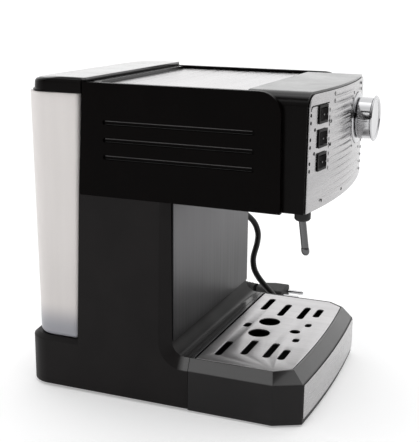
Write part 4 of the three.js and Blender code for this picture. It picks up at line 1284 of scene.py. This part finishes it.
class ESPRESSO_OT_water_tank(bpy.types.Operator):
    """Makes the milky water tank and its lid"""

    bl_idname = "espresso.water_tank"
    bl_label = "Water tank"

    def execute(self, context):
        wall = 2.2
        low, high = TANK_LOW.z, TANK_HIGH.z

        def section(z, inset):
            share = (z - low) / (high - low)
            front, rear = 87.5 - 6.5 * share, 134.6 + 2 * share
            return at(tank_plan(inset, front, rear, 96 + 1.5 * share), z)

        rises = ((0, 2.2), (0.7, 1), (2.2, 0.15), (3.5, 0), (high - low, 0))
        outer = [section(low + rise, inset) for rise, inset in rises]
        inner = [section(high, wall), section(low + 6, wall), section(low + wall, wall + 1)]
        tank = lofted("tank", [*outer, *inner])
        port = turned("port", [(0, low - 1), (7, low - 1), (7, low + 4), (0, low + 4)], (*TANK_PORT, 0))
        tank = combined(tank, port, "DIFFERENCE")
        finished("tank_wall", tank, "water_tank", "tank", ["water_tank"], 0.5 * MM, 40)
        self.lid(context.scene.espresso_sizes.moulded_edge)
        return {"FINISHED"}

    def lid(self, edge):
        side, front, rear = LID_HIGH.x, 77.7, LID_HIGH.y - 1.5
        bottom, top = LID_LOW.z, LID_HIGH.z

        def plan(inset, rear_inset):
            corner = 20
            x, y = side - inset, rear - rear_inset
            return [(-x, front), (x, front), *arc(x - corner, y - corner, corner, 0, 90, 14),
                    *arc(-x + corner, y - corner, corner, 90, 180, 14)]

        levels = ((bottom, 0, -1.5), (bottom + 1.5, 0, -1.5), (bottom + 2, 0, 0), (top - 5, 0, 0.5),
                  (top - 3.2, 0.2, 2), (top - 1.8, 0.8, 6), (top - 0.7, 1.4, 11), (top, 2, 17))
        body = lofted("lid", [at(plan(inset, back), z) for z, inset, back in levels])
        lip = lofted("lip", [at(rounded(-98, LID_LOW.y, 98, 84.5, 1.5), z) for z in (top - 3, top - 0.01)])
        inside = lofted("inside", [at(rounded(-94.5, 81.5, 94.5, 111, 3), z) for z in (bottom - 1, top - 3)])
        body = combined(combined(body, lip, "UNION"), inside, "DIFFERENCE")
        finished("lid_shell", body, "tank_lid", "lid_black", ["tank_lid"], edge * 0.7, 24)


# ------------------------------------------------------------------------------------------
# Carried-over pieces


class ESPRESSO_OT_inner_parts(bpy.types.Operator):
    """Gives every CAD piece that is still shown its finish"""

    bl_idname = "espresso.inner_parts"
    bl_label = "Inner parts"

    slot_finish = {
        "soft_black": "soft_black", "black_plastic": "deep_black", "brushed_steel": "steel_x",
        "chrome": "chrome", "milky_tank": "tank", "rubber": "rubber", "aluminium": "aluminium",
        "brass": "brass", "silicone": "silicone",
    }

    def execute(self, context):
        slots = {entry["node"]: entry["material_slot"] for entry in frame["record"]["subparts"]}
        for name, node in frame["nodes"].items():
            node.data.materials.clear()
            node.data.materials.append(FINISHES[self.slot_finish[slots[name]]])
        return {"FINISHED"}


# ------------------------------------------------------------------------------------------
# Stage


class ESPRESSO_OT_stage(bpy.types.Operator):
    """Sets up the camera, the pale floor and the soft studio light"""

    bl_idname = "espresso.stage"
    bl_label = "Stage"

    def execute(self, context):
        stage = context.scene.espresso_stage
        make_finishes(context.scene.espresso_colours)
        self.camera(context.scene, stage)
        self.studio(context.scene, stage)
        self.floor()
        self.lamp("overhead", "SUN", (-0.3, -0.25, 1.15), {"energy": stage.key, "angle": math.radians(70)})
        self.lamp("side_fill", "AREA", (-1.5, 0.6, 0.9), {"shape": "SQUARE", "size": 1, "energy": stage.fill})
        return {"FINISHED"}

    def camera(self, scene, stage):
        lens = bpy.data.cameras.new("camera")
        lens.lens, lens.clip_start = stage.lens, 0.01
        camera = linked("camera", lens)
        azimuth, elevation, roll = stage.azimuth, stage.elevation, stage.roll
        back = Vector((math.sin(azimuth) * math.cos(elevation), -math.cos(azimuth) * math.cos(elevation),
                       math.sin(elevation)))
        right = (-back).cross(Vector((0, 0, 1))).normalized()
        up = right.cross(-back)
        across = right * math.cos(roll) + up * math.sin(roll)
        above = up * math.cos(roll) - right * math.sin(roll)
        turn = Matrix((across, above, back)).transposed()
        camera.matrix_world = Matrix.Translation(Vector(stage.middle) + back * stage.distance) @ turn.to_4x4()
        scene.camera = camera

    def studio(self, scene, stage):
        """White to look at, bright behind the machine and dim in front of it in reflections."""
        scene.view_settings.view_transform = "Standard"
        world = bpy.data.worlds.new("studio")
        world.use_nodes = True
        scene.world = world
        g = Graph(world.node_tree)
        g.tree.nodes.clear()
        way = g.add("ShaderNodeTexCoord", output="Generated")
        side = {axis: g.add("ShaderNodeSeparateXYZ", {}, {0: way}, axis) for axis in "XYZ"}
        behind = side["X"] * 0.93 + side["Y"] * 0.37
        glow = g.add("ShaderNodeMapRange", {"interpolation_type": "SMOOTHSTEP"}, {
            "Value": behind, "From Min": -0.4, "From Max": 0.25, "To Min": 0.04, "To Max": stage.sky})
        dim = g.add("ShaderNodeBackground", {}, {"Color": (1, 1, 1, 1), "Strength": glow})
        seen = g.add("ShaderNodeBackground", {}, {"Color": (0.955, 0.955, 0.965, 1), "Strength": 1})
        looking = g.add("ShaderNodeLightPath", output="Is Camera Ray")
        mixed = g.add("ShaderNodeMixShader", {}, {0: looking, 1: dim, 2: seen})
        g.add("ShaderNodeOutputWorld", {}, {"Surface": mixed})

    def floor(self):
        mesh = bpy.data.meshes.new("floor")
        reach = 60
        mesh.from_pydata([(-reach, -reach, 0), (reach, -reach, 0), (reach, reach, 0), (-reach, reach, 0)], [],
                         [(0, 1, 2, 3)])
        mesh.materials.append(FINISHES["floor"])
        linked("floor", mesh)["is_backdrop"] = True

    def lamp(self, name, kind, place, settings):
        light = bpy.data.lights.new(name, kind)
        for key, value in settings.items():
            setattr(light, key, value)
        lamp = linked(name, light)
        lamp.location = place
        lamp.rotation_euler = (Vector((0, 0, 0.12)) - Vector(place)).to_track_quat("-Z", "Y").to_euler()


class ESPRESSO_PT_panel(bpy.types.Panel):
    """Lists the machine's pieces, sizes and colours"""

    bl_idname = "ESPRESSO_PT_panel"
    bl_label = "Espresso machine"
    bl_space_type = "VIEW_3D"
    bl_region_type = "UI"
    bl_category = "Espresso"

    def draw(self, context):
        for operator in OPERATORS:
            self.layout.operator(operator.bl_idname)
        for key in GROUPS:
            group = getattr(context.scene, key)
            column = self.layout.column()
            for name in group.__annotations__:
                column.prop(group, name)


OPERATORS = (
    ESPRESSO_OT_stage,
    ESPRESSO_OT_mains_lead,
    ESPRESSO_OT_base,
    ESPRESSO_OT_drip_tray,
    ESPRESSO_OT_head,
    ESPRESSO_OT_front_panel,
    ESPRESSO_OT_switches,
    ESPRESSO_OT_steam_knob,
    ESPRESSO_OT_steam_wand,
    ESPRESSO_OT_group,
    ESPRESSO_OT_water_tank,
    ESPRESSO_OT_inner_parts,
)
GROUPS = {
    "espresso_sizes": EspressoSizes,
    "espresso_colours": EspressoColours,
    "espresso_stage": EspressoStage,
}


def register():
    for item in (*GROUPS.values(), *OPERATORS, ESPRESSO_PT_panel):
        bpy.utils.register_class(item)
    for name, group in GROUPS.items():
        setattr(bpy.types.Scene, name, bpy.props.PointerProperty(type=group))


def unregister():
    for name in GROUPS:
        delattr(bpy.types.Scene, name)
    for item in (ESPRESSO_PT_panel, *reversed(OPERATORS), *reversed(tuple(GROUPS.values()))):
        bpy.utils.unregister_class(item)


def main():
    register()
    for operator in OPERATORS:
        family, name = operator.bl_idname.split(".")
        getattr(getattr(bpy.ops, family), name)()
    boxes = {"cad": CAD_BOX, "visual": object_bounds()}
    plain = {key: [list(map(float, corner)) for corner in corners] for key, corners in boxes.items()}


if __name__ == "__main__":
    main()
